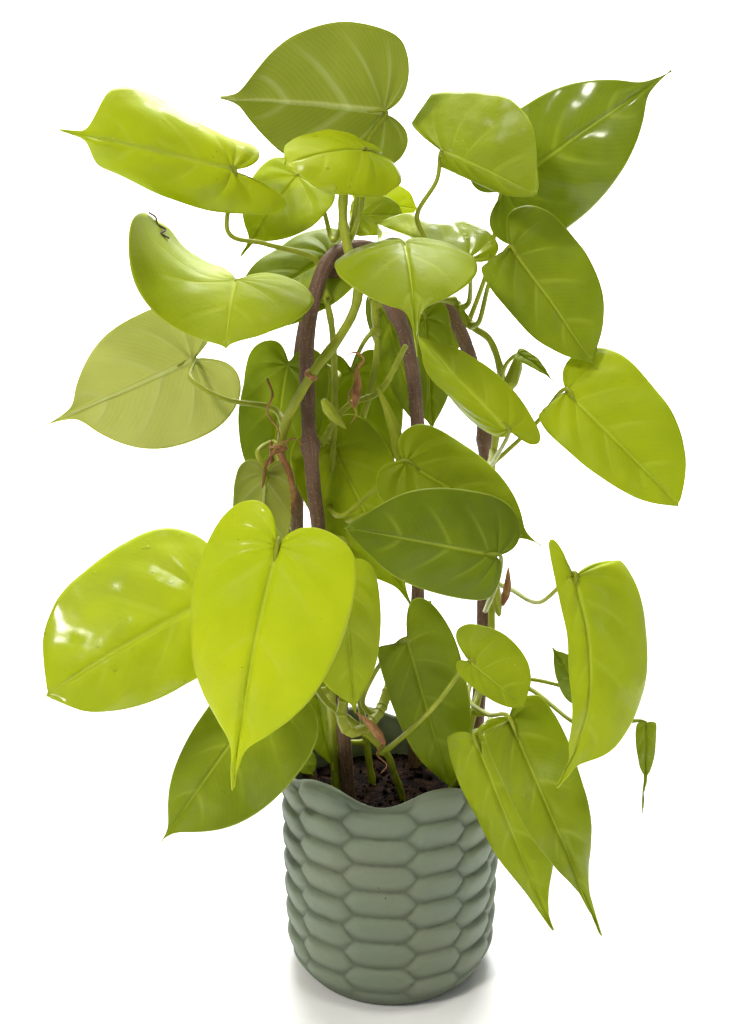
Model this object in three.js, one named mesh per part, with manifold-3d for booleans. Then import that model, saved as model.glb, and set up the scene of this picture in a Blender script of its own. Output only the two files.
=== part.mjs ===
// Potted philodendron: a heart-leaved climber on two crossed twig hoops, in a round pot with scale relief.
// Millimetres, +Z up. The origin is the middle of the pot's underside and -Y is the front of the plant.
import * as THREE from 'three';
import { mergeVertices } from 'three/addons/utils/BufferGeometryUtils.js';
import Module from 'manifold-3d';

const wasm = await Module();
wasm.setup();

// ---- driving dimensions -------------------------------------------------------------------------
const POT_RADIUS = 65;
const POT_FOOT_RADIUS = 50;
const POT_SHOULDER = 25;          // height over which the rounded bottom becomes the side
const POT_TAPER = 3;              // how much narrower the side is at its foot
const POT_HEIGHT = 137;           // top of the rim's crests
const POT_RIM_DIP = 8.5;          // how far the rim's hollows lie below its crests
const POT_WALL = 6.5;
const POT_FLOOR = 8;
const SCALE_PITCH = 16.1;         // height of one scale
const SCALE_START = 5.6;          // height of the middle of the front column's lowest whole scale
const SCALE_RELIEF = 2.4;
// Where the columns of scales meet, in degrees from the front. They were pressed by eye, so they vary.
const SCALE_EDGES = [-23.5, 10.5, 38, 68, 98, 128, 157, 187, 218, 248, 277, 306.5, 336.5];
const RINGS_PER_COLUMN = 4;
const SIDE_ROWS = 18;
const SCALE_REACH = 0.6;          // half a scale's width from point to point, in columns
const SCALE_SLANT = 0.19;         // how much of that its slanted ends take off at its top and bottom
const FOOT_EDGE = 6;              // rounding between the underside and the side
const RIM_EDGE = 2;               // rounding of the rim
const BORE_TAPER = 2;             // how much narrower the bore is low down
const SOIL_TOP = 105;
const SOIL_CROWN = 3;
const GAP = 0.3;                  // clearance wherever two pieces touch
const TWIG_RADIUS = 4.2;
const STUB_RADIUS = 2.6;          // of the cut side shoot on the front hoop
const BLADE_THICKNESS = 1;
const BLADE_ROWS = 8;
const BLADE_COLUMNS = 2;          // on each side of the midrib
const STALK_RADIUS = 1.6;
const STALK_STEP = 15;
const TWIG_STEP = 15;
const VINE_STEP = 13;
const ROOTED_DEPTH = 14;          // how deep a vine goes into the soil
const TWIG_DEPTH = 55;            // how deep a hoop's legs go into the soil

// ---- helpers ------------------------------------------------------------------------------------
const { sin, cos, abs, sqrt, max, min, PI } = Math;
const rad = THREE.MathUtils.degToRad;

function point(place) {
  return new THREE.Vector3(...place);
}

function smoothRoute(places) {
  return new THREE.CatmullRomCurve3(places.map(point), false, 'centripetal');
}

function toSolid(geometry) {
  const bare = geometry.clone();
  bare.deleteAttribute('normal');
  bare.deleteAttribute('uv');
  const merged = mergeVertices(bare, 1e-3);
  const mesh = new wasm.Mesh({
    numProp: 3,
    vertProperties: new Float32Array(merged.attributes.position.array),
    triVerts: new Uint32Array(merged.index.array),
  });
  return new wasm.Manifold(mesh);
}

function toGeometry(solid) {
  const mesh = solid.getMesh();
  const geometry = new THREE.BufferGeometry();
  geometry.setAttribute('position', new THREE.BufferAttribute(mesh.vertProperties, 3));
  geometry.setIndex(new THREE.BufferAttribute(mesh.triVerts, 1));
  return geometry;
}

// The part that stays on the plant when a cut leaves crumbs.
function largestPiece(solid) {
  return solid.decompose().reduce((best, piece) => (piece.volume() > best.volume() ? piece : best));
}

function rod(route, radius, step, sides) {
  const ring = new THREE.Shape();
  for (let i = 0; i < sides; i += 1) {
    const turn = (2 * PI * i) / sides;
    const corner = [radius * cos(turn), radius * sin(turn)];
    if (i === 0) ring.moveTo(...corner);
    else ring.lineTo(...corner);
  }
  ring.closePath();
  const steps = max(2, Math.round(route.getLength() / step));
  return new THREE.ExtrudeGeometry(ring, { steps, bevelEnabled: false, extrudePath: route });
}

// A closed skin from rows of points: each row runs round the piece, and both ends close on a middle point.
function closedSkin(rows, firstMiddle, lastMiddle) {
  const around = rows[0].length;
  const corners = [firstMiddle, ...rows.flat(), lastMiddle];
  const last = corners.length - 1;
  const faces = [];
  for (let k = 0; k < around; k += 1) {
    const next = (k + 1) % around;
    faces.push(0, 1 + next, 1 + k);
    for (let r = 0; r + 1 < rows.length; r += 1) {
      const low = 1 + r * around;
      const high = low + around;
      faces.push(low + k, low + next, high + next, low + k, high + next, high + k);
    }
    const top = 1 + (rows.length - 1) * around;
    faces.push(top + k, top + next, last);
  }
  const geometry = new THREE.BufferGeometry().setFromPoints(corners);
  geometry.setIndex(faces);
  return geometry;
}

// ---- pot ----------------------------------------------------------------------------------------
// Which column of scales a direction falls in: whole at a column's middle, even where the rim dips.
function columnAt(degrees) {
  const wrapped = degrees < SCALE_EDGES[0] ? degrees + 360 : degrees;
  const index = max(0, SCALE_EDGES.findLastIndex((edge) => edge <= wrapped));
  const last = min(index, SCALE_EDGES.length - 2);
  return last + (wrapped - SCALE_EDGES[last]) / (SCALE_EDGES[last + 1] - SCALE_EDGES[last]) - 0.5;
}

// Height above the mean scale surface, from 0 in the seams to 1 in the middle of a scale.
function scaleSwell(column, height) {
  let swell = 0;
  for (const middle of [Math.floor(column), Math.floor(column) + 1]) {
    const odd = abs(middle) % 2;
    const row = (height - SCALE_START) / SCALE_PITCH - odd / 2;
    const up = abs(row - Math.round(row)) * 2;
    const across = abs(column - middle) / (SCALE_REACH - SCALE_SLANT * up);
    swell = max(swell, 1 - across ** 4 - up ** 2);
  }
  return sqrt(max(0, swell));
}

function rimHeight(column) {
  return POT_HEIGHT - POT_RIM_DIP * abs(cos((PI * column) / 2)) ** 2.6;
}

function makePot() {
  const columns = SCALE_EDGES.length - 1;
  const rows = [];
  const ringAt = (radiusAt, heightAt) => {
    const ring = [];
    for (let k = 0; k < columns * RINGS_PER_COLUMN; k += 1) {
      const index = Math.floor(k / RINGS_PER_COLUMN);
      const share = (k % RINGS_PER_COLUMN) / RINGS_PER_COLUMN;
      const degrees = SCALE_EDGES[index] + share * (SCALE_EDGES[index + 1] - SCALE_EDGES[index]);
      const column = columnAt(degrees);
      const turn = rad(degrees) - PI / 2;
      const radius = radiusAt(column);
      ring.push(new THREE.Vector3(radius * cos(turn), radius * sin(turn), heightAt(column)));
    }
    return ring;
  };
  const fixed = (value) => () => value;
  const bore = POT_RADIUS - POT_WALL;
  rows.push(ringAt(fixed(POT_FOOT_RADIUS - FOOT_EDGE), fixed(0)));
  for (let r = 0; r <= SIDE_ROWS; r += 1) {
    const share = r / SIDE_ROWS;
    const heightAt = (column) => FOOT_EDGE / 2 + share * (rimHeight(column) - FOOT_EDGE / 2 - RIM_EDGE);
    const radiusAt = (column) => {
      const height = heightAt(column);
      const below = max(0, 1 - height / POT_SHOULDER);
      const rounding = (POT_RADIUS - POT_FOOT_RADIUS - POT_TAPER) * below ** 2;
      const body = POT_RADIUS - POT_TAPER * (1 - share) - rounding;
      return body - SCALE_RELIEF * (1 - scaleSwell(column, height)) * min(1, height / POT_SHOULDER);
    };
    rows.push(ringAt(radiusAt, heightAt));
  }
  rows.push(ringAt(fixed(POT_RADIUS - POT_WALL / 2 - 1), rimHeight));
  rows.push(ringAt(fixed(bore), (column) => rimHeight(column) - RIM_EDGE));
  rows.push(ringAt(fixed(bore - BORE_TAPER), fixed(POT_SHOULDER)));
  rows.push(ringAt(fixed(POT_FOOT_RADIUS - POT_WALL - BORE_TAPER), fixed(POT_FLOOR)));
  return closedSkin(rows, new THREE.Vector3(0, 0, 0), new THREE.Vector3(0, 0, POT_FLOOR));
}

// ---- soil ---------------------------------------------------------------------------------------
function makeSoil() {
  const edge = POT_RADIUS - POT_WALL - BORE_TAPER - GAP;
  const profile = [
    [0, POT_FLOOR + GAP],
    [POT_FOOT_RADIUS - POT_WALL - 3, POT_FLOOR + GAP],
    [edge - 1, POT_SHOULDER + 2],
    [edge, SOIL_TOP - 4],
    [edge - 4, SOIL_TOP],
    [edge / 2, SOIL_TOP + SOIL_CROWN / 2],
    [0, SOIL_TOP + SOIL_CROWN],
  ].map((pair) => new THREE.Vector2(...pair));
  const body = new THREE.LatheGeometry(profile, 24);
  body.rotateX(PI / 2);
  return body;
}

// ---- leaves -------------------------------------------------------------------------------------
// Each leaf: base is the notch where the stalk meets the blade, tip the end of the drip tip, face the way
// the upper side looks. Widths and lobes are shares of the length, [left, right] as seen from the base with
// the upper side up. bend arches the midrib, curl rolls each half down, fold lifts both halves, twist turns
// the blade round its midrib, sweep swings it sideways (degrees); blunt fills out the outline near the tip.
const LEAVES = {
  leaf_front_heart: {
    base: [-56, -98, 286], tip: [-79, -108, 164], face: [-0.2, -1, 0.3],
    width: [0.66, 0.57], lobe: [0.1, 0.15], drip: 0.2, bend: 38, curl: [30, 30], fold: 10, blunt: -0.1,
    stalk: [[-51, -6, 243], [-53, -42, 262], [-56, -82, 282]],
  },
  leaf_left_wide: {
    base: [-95, -60, 246], tip: [-173, -90, 206], face: [-0.1, -0.85, 0.5],
    width: [0.72, 1.08], lobe: [0.2, 0.2], drip: 0.03, bend: 25, curl: [35, 12], fold: 0, blunt: 0.45,
    stalk: [[-47, -10, 234], [-67, -38, 233]],
  },
  leaf_lower_left: {
    base: [-69, -50, 187], tip: [-124, -62, 110], face: [-0.2, -0.93, 0.2],
    width: [0.8, 0.46], lobe: [0.15, 0.15], drip: 0.1, bend: 15, curl: [15, 20], fold: 4,
    stalk: [[-34, -15, 178]],
  },
  leaf_left_pale: {
    base: [-107, 0, 361], tip: [-182, -25, 330], face: [0.1, 1, -0.2],
    width: [0.78, 0.98], lobe: [0.2, 0.22], drip: 0.2, bend: 10, curl: [20, 15], fold: -6,
    stalk: [[-65, -5, 336], [-87, -25, 344], [-104, -28, 355]],
  },
  leaf_left_fold: {
    base: [-79, -30, 405], tip: [-81, -66, 376], face: [-0.1, -0.8, 0.6],
    width: [1.7, 2.7], lobe: [0.25, 0.6], drip: 0.06, bend: 40, curl: [25, -85], fold: 0,
    stalk: [[-44, 0, 393], [-67, -22, 399]],
  },
  leaf_left_saddle: {
    base: [-81, -20, 459], tip: [-159, -50, 477], face: [-0.05, -0.97, 0.25],
    width: [0.52, 0.92], lobe: [0.4, 0.2], drip: 0.15, bend: 15, curl: [20, 110], fold: 0,
    curlTip: [135, 5], blunt: 0.9,
    stalk: [[-41, 10, 413], [-66, -5, 422], [-84, -18, 429]],
  },
  leaf_yellow_back: {
    base: [-51, 30, 456], tip: [-80, 5, 415], face: [-0.2, -0.95, 0.2],
    width: [0.9, 0.7], lobe: [0.12, 0.12], drip: 0.2, bend: 20, curl: [10, 10], fold: 4,
    stalk: [[-32, 20, 423], [-39, 28, 444]],
  },
  leaf_top_round: {
    base: [-5, -10, 487], tip: [-85, -25, 493], face: [0.05, 0.9, 0.4],
    width: [0.98, 0.94], lobe: [0.12, 0.18], drip: 0.12, bend: 18, curl: [20, 15], fold: 20,
    blunt: -0.05,
    stalk: [[-22, 10, 426], [-14, -5, 469]],
  },
  leaf_top_small: {
    base: [-14, -40, 468], tip: [-51, -70, 461], face: [-0.1, -0.75, 0.65],
    width: [1.05, 0.75], lobe: [0.42, 0.42], drip: 0.03, bend: 30, curl: [50, 10], fold: 0, blunt: 0.6,
    stalk: [[-22, 0, 424], [-16, -25, 442]],
  },
  leaf_upper_mid: {
    base: [25, -15, 468], tip: [70, -35, 447], face: [0, -1, 0.25],
    width: [1.5, 0.5], lobe: [0.6, 0], drip: 0.03, bend: 20, curl: [15, 120], fold: -4, blunt: -0.15,
    stalk: [[15, -20, 419], [12, -20, 437], [22, -14, 454]],
  },
  leaf_upper_right: {
    base: [61, 30, 449], tip: [143, 10, 509], face: [0.1, -0.9, 0.4],
    width: [0.6, 0.7], lobe: [0.13, 0.17], drip: 0.16, bend: 12, curl: [10, 20], fold: 6,
    stalk: [[44, 40, 378], [54, 35, 410]],
  },
  leaf_right_upper: {
    base: [61, -10, 420], tip: [103, -25, 363], face: [0.05, -0.93, 0.35],
    width: [0.84, 0.58], lobe: [0.22, 0.02], drip: 0.04, bend: 12, curl: [12, 18], fold: 6, blunt: 0.15,
    stalk: [[48, 20, 380], [52, 5, 403]],
  },
  leaf_right_low: {
    base: [90, -25, 348], tip: [146, -50, 293], face: [0.15, -0.95, 0.3],
    width: [0.84, 0.54], lobe: [0.14, 0.01], drip: 0.03, bend: 15, curl: [12, 20], fold: 8, blunt: 0.1,
    stalk: [[56, 20, 299], [77, -5, 327]],
  },
  leaf_mid_right: {
    base: [56, -60, 335], tip: [9, -78, 385], face: [-0.25, -0.92, -0.05],
    width: [0.95, 0.52], lobe: [0.1, 0.3], drip: 0.1, bend: 8, curl: [25, 15], fold: -42, blunt: -0.25,
    stalk: [[55, 10, 301], [56, -30, 318]],
  },
  leaf_center_top: {
    base: [5, -50, 424], tip: [10, -105, 377], face: [0, -0.6, 0.8],
    width: [0.92, 0.92], lobe: [0.25, 0.25], drip: 0.3, bend: 60, curl: [25, 20], fold: 0,
    stalk: [[-17, 0, 416], [-2, -30, 425]],
  },
  leaf_center_fold: {
    base: [7, -36, 313], tip: [77, -46, 271], face: [0.05, -0.93, 0.35],
    width: [0.62, 0.62], lobe: [0.12, 0.12], drip: 0.14, bend: 10, curl: [15, 15], fold: -5,
    stalk: [[-27, -20, 280], [-9, -28, 297]],
  },
  leaf_mid_big: {
    base: [53, -62, 270], tip: [-24, -84, 291], face: [-0.05, -0.97, 0.3],
    width: [0.6, 0.74], lobe: [0.06, 0.14], drip: 0.04, bend: 12, curl: [15, 15], fold: -4, blunt: -0.1,
    stalk: [[54, 10, 216], [56, -30, 245]],
  },
  leaf_low_round: {
    base: [8, -40, 216], tip: [32, -36, 129], face: [-0.1, -0.95, 0.2],
    width: [0.56, 0.4], lobe: [0.24, 0], drip: 0.03, bend: 12, curl: [10, 20], fold: 6,
    stalk: [[-16, -32, 179], [-4, -38, 206]],
  },
  leaf_low_small: {
    base: [39, -76, 218], tip: [66, -84, 197], face: [0.2, -0.95, 0.2],
    width: [1.25, 0.5], lobe: [0.45, 0.15], drip: 0.04, bend: 20, curl: [10, 10], fold: 4, blunt: 0.3,
    stalk: [[-3, -34, 150], [20, -62, 186]],
  },
  leaf_low_right_a: {
    base: [43, -64, 171], tip: [87, -72, 62], face: [-0.4, -0.85, 0.2],
    width: [0.44, 0.34], lobe: [0.06, 0.04], drip: 0.12, bend: 15, curl: [20, 15], fold: -8,
    blunt: -0.25,
    stalk: [[58, 8, 152], [50, -32, 162]],
  },
  leaf_low_right_b: {
    base: [60, -75, 186], tip: [110, -88, 69], face: [0.2, -0.95, 0.2],
    width: [0.37, 0.26], lobe: [0.06, 0], drip: 0.2, bend: 12, curl: [15, 15], fold: 4, blunt: -0.2,
    stalk: [[53, 26, 180], [44, -4, 169], [52, -42, 175]],
  },
  leaf_right_front: {
    base: [90, -75, 263], tip: [82, -95, 159], face: [0.25, -0.93, 0.2],
    width: [0.76, 0.2], lobe: [0.04, 0.2], drip: 0.14, bend: 35, curl: [40, 40], fold: 0, sweep: -45,
    blunt: 0.3,
    stalk: [[70, 20, 225], [78, -40, 238]],
  },
  leaf_heart_mate: {
    base: [-25, -60, 258], tip: [-20, -55, 182], face: [0.1, -0.95, 0.2],
    width: [0.46, 0.66], lobe: [0.12, 0.12], drip: 0.08, bend: 10, curl: [20, 20], fold: 6,
    stalk: [[-25, -20, 266]],
  },
  leaf_pot_left: {
    base: [-43, -4, 173], tip: [-33, -12, 127], face: [-0.3, -0.9, 0.2],
    width: [0.5, 0.5], lobe: [0.2, 0.2], drip: 0.1, bend: 5, curl: [20, 20], fold: 20,
    stalk: [[-32, 0, 178]],
  },
  leaf_back_left: {
    base: [-34, 25, 414], tip: [-92, 10, 371], face: [-0.3, -0.7, 0.6],
    width: [0.75, 0.75], lobe: [0.2, 0.2], drip: 0.1, bend: 25, curl: [20, 20], fold: 5,
    stalk: [[-28, 20, 396]],
  },
  leaf_left_dark: {
    base: [-58, 34, 353], tip: [-71, 30, 273], face: [-0.4, -0.8, 0.2],
    width: [0.7, 0.7], lobe: [0.15, 0.15], drip: 0.1, bend: 15, curl: [20, 20], fold: 8,
    stalk: [[-30, 20, 351], [-45, 30, 357]],
  },
  leaf_left_pale_low: {
    base: [-68, -15, 302], tip: [-70, -30, 244], face: [-0.4, 0.8, 0.2],
    width: [0.6, 0.6], lobe: [0.12, 0.12], drip: 0.1, bend: 15, curl: [20, 20], fold: 8,
    stalk: [[-65, 0, 316], [-72, -12, 313]],
  },
  leaf_center_low: {
    base: [-32, 10, 310], tip: [12, 0, 221], face: [0, -0.9, 0.3],
    width: [0.55, 0.55], lobe: [0.15, 0.15], drip: 0.16, bend: 15, curl: [20, 20], fold: 6,
    stalk: [[-33, 8, 316]],
  },
  leaf_back_center_a: {
    base: [-22, 42, 348], tip: [-14, 46, 269], face: [0, -0.95, 0.2],
    width: [0.68, 0.68], lobe: [0.15, 0.15], drip: 0.1, bend: 15, curl: [20, 20], fold: 6,
    stalk: [[-10, 12, 375], [-16, 26, 366]],
  },
  leaf_back_center_b: {
    base: [-4, 26, 384], tip: [19, 32, 313], face: [-0.3, -0.9, 0.3],
    width: [0.4, 0.4], lobe: [0.15, 0.15], drip: 0.1, bend: 15, curl: [20, 20], fold: -20,
    stalk: [[-10, 12, 392]],
  },
  leaf_back_center_c: {
    base: [19, 36, 379], tip: [24, 40, 312], face: [0.2, -0.95, 0.2],
    width: [0.45, 0.45], lobe: [0.15, 0.15], drip: 0.1, bend: 10, curl: [20, 20], fold: 6,
    stalk: [[10, 20, 391]],
  },
  leaf_arch_behind: {
    base: [30, 66, 380], tip: [26, 70, 342], face: [0.3, -0.9, 0.2],
    width: [0.8, 0.8], lobe: [0.2, 0.2], drip: 0.1, bend: 15, curl: [20, 20], fold: 6,
    stalk: [[15, 20, 391]],
  },
  leaf_back_top: {
    base: [39, -2, 413], tip: [-9, 28, 431], face: [0.1, -0.65, 0.75],
    width: [0.95, 0.95], lobe: [0.15, 0.15], drip: 0.06, bend: 20, curl: [20, 20], fold: 6,
    stalk: [[43, 30, 390]],
  },
  leaf_back_green: {
    base: [-19, 45, 435], tip: [8, 40, 435], face: [0.1, -0.95, 0.3],
    width: [0.85, 0.85], lobe: [0.15, 0.15], drip: 0.08, bend: 20, curl: [20, 20], fold: 6, blunt: 0.5,
    stalk: [[-23, 30, 417]],
  },
  leaf_back_pale: {
    base: [-18, 72, 441], tip: [16, 70, 438], face: [0.1, -0.95, 0.3],
    width: [0.85, 0.85], lobe: [0.15, 0.15], drip: 0.06, bend: 20, curl: [20, 20], fold: 6, blunt: 0.5,
    stalk: [[-23, 40, 422]],
  },
  leaf_bud_leaf: {
    base: [68, 8, 363], tip: [87, 4, 349], face: [0.2, -0.6, 0.8],
    width: [0.4, 0.4], lobe: [0.05, 0.05], drip: 0.2, bend: 30, curl: [20, 20], fold: 20,
    stalk: [[60, 20, 345], [62, 10, 357]],
  },
  leaf_hanging_tip: {
    base: [133, -62, 178], tip: [133, -66, 129], face: [0.2, -0.95, 0.1],
    width: [0.24, 0.24], lobe: [0.03, 0.03], drip: 0.42, bend: 12, curl: [40, 40], fold: 20,
    stalk: [[80, 14, 167], [105, -26, 161], [124, -56, 177]],
  },
  leaf_rim_left: {
    base: [-50, -12, 135], tip: [-44, -22, 129], face: [-0.3, -0.6, 0.7],
    width: [0.95, 0.95], lobe: [0.15, 0.15], drip: 0.1, bend: 10, curl: [20, 20], fold: 5,
    stalk: [[-34, 12, 134], [-43, 4, 139]],
  },
  leaf_dark_curl: {
    base: [105, -10, 176], tip: [89, -15, 203], face: [0.2, -0.9, 0.3],
    width: [0.6, 0.6], lobe: [0.2, 0.2], drip: 0.1, bend: 20, curl: [40, 40], fold: 30,
    stalk: [[79, 0, 178]],
  },
};

const LOBE_OUTLINE = [[0, 0], [-0.5, 0.09], [-0.88, 0.24], [-1, 0.45], [-0.8, 0.7], [-0.28, 0.9]];
const BODY_OUTLINE = [[0.1, 1], [0.3, 1], [0.5, 0.93], [0.66, 0.8], [0.79, 0.61], [0.9, 0.38], [1, 0.12]];
const RIB_SLANT = 0.7;            // how far the side veins run forward for each step outward
const NOTCH_SOFTNESS = 0.05;

// The margin of one half, from the notch round the lobe to the tip, as [along, across] in leaf lengths.
function halfOutline(leaf, side) {
  const half = leaf.width[side] / 2;
  const body = 1 - leaf.drip;
  const fill = 1 / (1 + (leaf.blunt ?? 0));
  const corners = [
    ...LOBE_OUTLINE.map(([u, v]) => [u * leaf.lobe[side], v * half]),
    ...BODY_OUTLINE.map(([u, v]) => [u * body, (u < 1 ? v ** fill : v) * half]),
    [body + leaf.drip / 2, 0.035 * half],
    [1, 0],
  ];
  const curve = new THREE.SplineCurve(corners.map((pair) => new THREE.Vector2(...pair)));
  return curve.getSpacedPoints(BLADE_ROWS - 1);
}

// Where on the midrib the side vein that ends at this margin point starts.
function ribStart(edge) {
  const raw = edge.x - RIB_SLANT * edge.y;
  const soft = (raw + sqrt(raw * raw + NOTCH_SOFTNESS ** 2)) / 2;
  const start = max(0, soft - (NOTCH_SOFTNESS / 2) * Math.exp(-8 * max(raw, 0)));
  const ahead = max(edge.x, 0);
  return start * (1 - ahead ** 6) + ahead ** 7;
}

function swingAt(leaf, along) {
  return rad(leaf.sweep ?? 0) * max(along, 0) ** 1.5;
}

function heading(leaf, along) {
  const dive = rad(leaf.bend) * along;
  const swing = swingAt(leaf, along);
  return new THREE.Vector3(cos(dive) * cos(swing), cos(dive) * sin(swing), -sin(dive));
}

function midribPoint(leaf, along) {
  const steps = 24;
  const place = new THREE.Vector3();
  for (let i = 0; i < steps; i += 1) {
    place.addScaledVector(heading(leaf, (along * (i + 0.5)) / steps), along / steps);
  }
  return place;
}

function bladePoint(leaf, along, across, side) {
  const curlTip = (leaf.curlTip ?? leaf.curl)[side];
  const curl = leaf.curl[side] + (curlTip - leaf.curl[side]) * min(1, max(0, along));
  const bowed = rad(curl) / (leaf.width[side] / 2) || 1e-6;
  const out = sin(bowed * across) / bowed;
  const down = (1 - cos(bowed * across)) / bowed;
  const fold = rad(leaf.fold);
  const outward = out * cos(fold) + down * sin(fold);
  const upward = out * sin(fold) - down * cos(fold);
  const swing = swingAt(leaf, along);
  const forward = heading(leaf, along);
  const left = new THREE.Vector3(-sin(swing), cos(swing), 0);
  const up = new THREE.Vector3().crossVectors(forward, left);
  const twist = rad(leaf.twist ?? 0) * max(along, -0.3);
  const sideways = left.clone().multiplyScalar(cos(twist)).addScaledVector(up, sin(twist));
  const above = up.multiplyScalar(cos(twist)).addScaledVector(left, -sin(twist));
  const toSide = side === 0 ? outward : -outward;
  return midribPoint(leaf, along).addScaledVector(sideways, toSide).addScaledVector(above, upward);
}

// Turns and scales the leaf's own frame so that its chord runs from base to tip and its face looks out.
function leafPlacement(leaf) {
  const chord = midribPoint(leaf, 1);
  const ownX = chord.clone().normalize();
  const ownZ = new THREE.Vector3(0, 0, 1).addScaledVector(ownX, -ownX.z).normalize();
  const ownY = new THREE.Vector3().crossVectors(ownZ, ownX);
  const own = new THREE.Matrix4().makeBasis(ownX, ownY, ownZ).transpose();
  const reach = point(leaf.tip).sub(point(leaf.base));
  const toX = reach.clone().normalize();
  const face = point(leaf.face);
  const toZ = face.addScaledVector(toX, -face.dot(toX)).normalize();
  const toY = new THREE.Vector3().crossVectors(toZ, toX);
  const grow = reach.length() / chord.length();
  const place = new THREE.Matrix4().makeBasis(toX, toY, toZ).multiply(own);
  return place.scale(new THREE.Vector3(grow, grow, grow)).setPosition(point(leaf.base));
}

function bladeGeometry(leaf) {
  const outlines = [halfOutline(leaf, 0), halfOutline(leaf, 1)];
  const across = 2 * BLADE_COLUMNS + 1;
  const last = 1 + (BLADE_ROWS - 2) * across;
  const index = (row, column) => {
    if (row === 0) return 0;
    return row === BLADE_ROWS - 1 ? last : 1 + (row - 1) * across + column;
  };
  const middle = [];
  for (let row = 0; row < BLADE_ROWS; row += 1) {
    const start = (ribStart(outlines[0][row]) + ribStart(outlines[1][row])) / 2;
    for (let column = 0; column < across; column += 1) {
      const share = abs(column - BLADE_COLUMNS) / BLADE_COLUMNS;
      const side = column < BLADE_COLUMNS ? 0 : 1;
      const edge = outlines[side][row];
      const along = start + share * (edge.x - start);
      middle[index(row, column)] = bladePoint(leaf, along, share * edge.y, side);
    }
  }
  const faces = [];
  for (let row = 0; row + 1 < BLADE_ROWS; row += 1) {
    for (let column = 0; column + 1 < across; column += 1) {
      const near = [index(row, column), index(row, column + 1)];
      const far = [index(row + 1, column + 1), index(row + 1, column)];
      const corners = [...near, ...far];
      if (corners[0] !== corners[1]) faces.push([corners[0], corners[1], corners[2]]);
      if (corners[2] !== corners[3]) faces.push([corners[0], corners[2], corners[3]]);
    }
  }
  const placed = new THREE.BufferGeometry().setFromPoints(middle).applyMatrix4(leafPlacement(leaf));
  placed.setIndex(faces.flat());
  placed.computeVertexNormals();
  return thicken(placed, faces, marginLoop(index, across));
}

function marginLoop(index, across) {
  const loop = [];
  for (let row = 0; row < BLADE_ROWS; row += 1) loop.push(index(row, 0));
  for (let row = BLADE_ROWS - 2; row > 0; row -= 1) loop.push(index(row, across - 1));
  return loop;
}

function thicken(sheet, faces, loop) {
  const count = sheet.attributes.position.count;
  const corners = [];
  for (const offset of [BLADE_THICKNESS / 2, -BLADE_THICKNESS / 2]) {
    for (let i = 0; i < count; i += 1) {
      const normal = new THREE.Vector3().fromBufferAttribute(sheet.attributes.normal, i);
      const place = new THREE.Vector3().fromBufferAttribute(sheet.attributes.position, i);
      corners.push(place.addScaledVector(normal, offset));
    }
  }
  const skin = faces.flat();
  for (const [a, b, c] of faces) skin.push(a + count, c + count, b + count);
  for (let k = 0; k < loop.length; k += 1) {
    const here = loop[k];
    const next = loop[(k + 1) % loop.length];
    skin.push(here, next, next + count, here, next + count, here + count);
  }
  const geometry = new THREE.BufferGeometry().setFromPoints(corners);
  geometry.setIndex(skin);
  return geometry;
}

function makeLeaf(leaf, clearance) {
  const blade = toSolid(bladeGeometry(leaf));
  const matrix = leafPlacement(leaf);
  const inBlade = bladePoint(leaf, 0.06, 0, 0).applyMatrix4(matrix).toArray();
  const route = smoothRoute([...leaf.stalk, leaf.base, inBlade]);
  const stalk = toSolid(rod(route, STALK_RADIUS, STALK_STEP, 5));
  return toGeometry(largestPiece(blade.add(stalk).subtract(clearance)));
}

// ---- twigs and vines ----------------------------------------------------------------------------
const HOOPS = {
  hoop_front: [
    [-24, -8, 106], [-27, -12, 146], [-32, -12, 200], [-38, -12, 253], [-43, -12, 303], [-45, -10, 341],
    [-45, -6, 372], [-41, 0, 396], [-34, 8, 412], [-23, 22, 419], [-4, 40, 415], [19, 52, 399],
    [35, 58, 379], [46, 62, 355], [54, 65, 322], [57, 66, 286], [57, 64, 230], [56, 46, 185],
    [52, 24, 147], [49, 10, 115],
  ],
  hoop_back: [
    [-48, 12, 112], [-51, 15, 135], [-54, 28, 160], [-56, 40, 200], [-55, 46, 260], [-54, 44, 314],
    [-52, 40, 355], [-46, 32, 384], [-36, 20, 402], [-21, 6, 408], [-8, 0, 399], [4, 2, 381],
    [11, 8, 354], [15, 18, 314], [16, 26, 265], [16, 34, 214], [16, 36, 150], [15, 36, 104],
  ],
};

// The cut side shoot, from inside the front hoop to its sawn end.
const STUB = [[-31, -12, 190], [-27, -14, 197], [-24, -16, 205]];
const STUB_STEP = 8;

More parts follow.
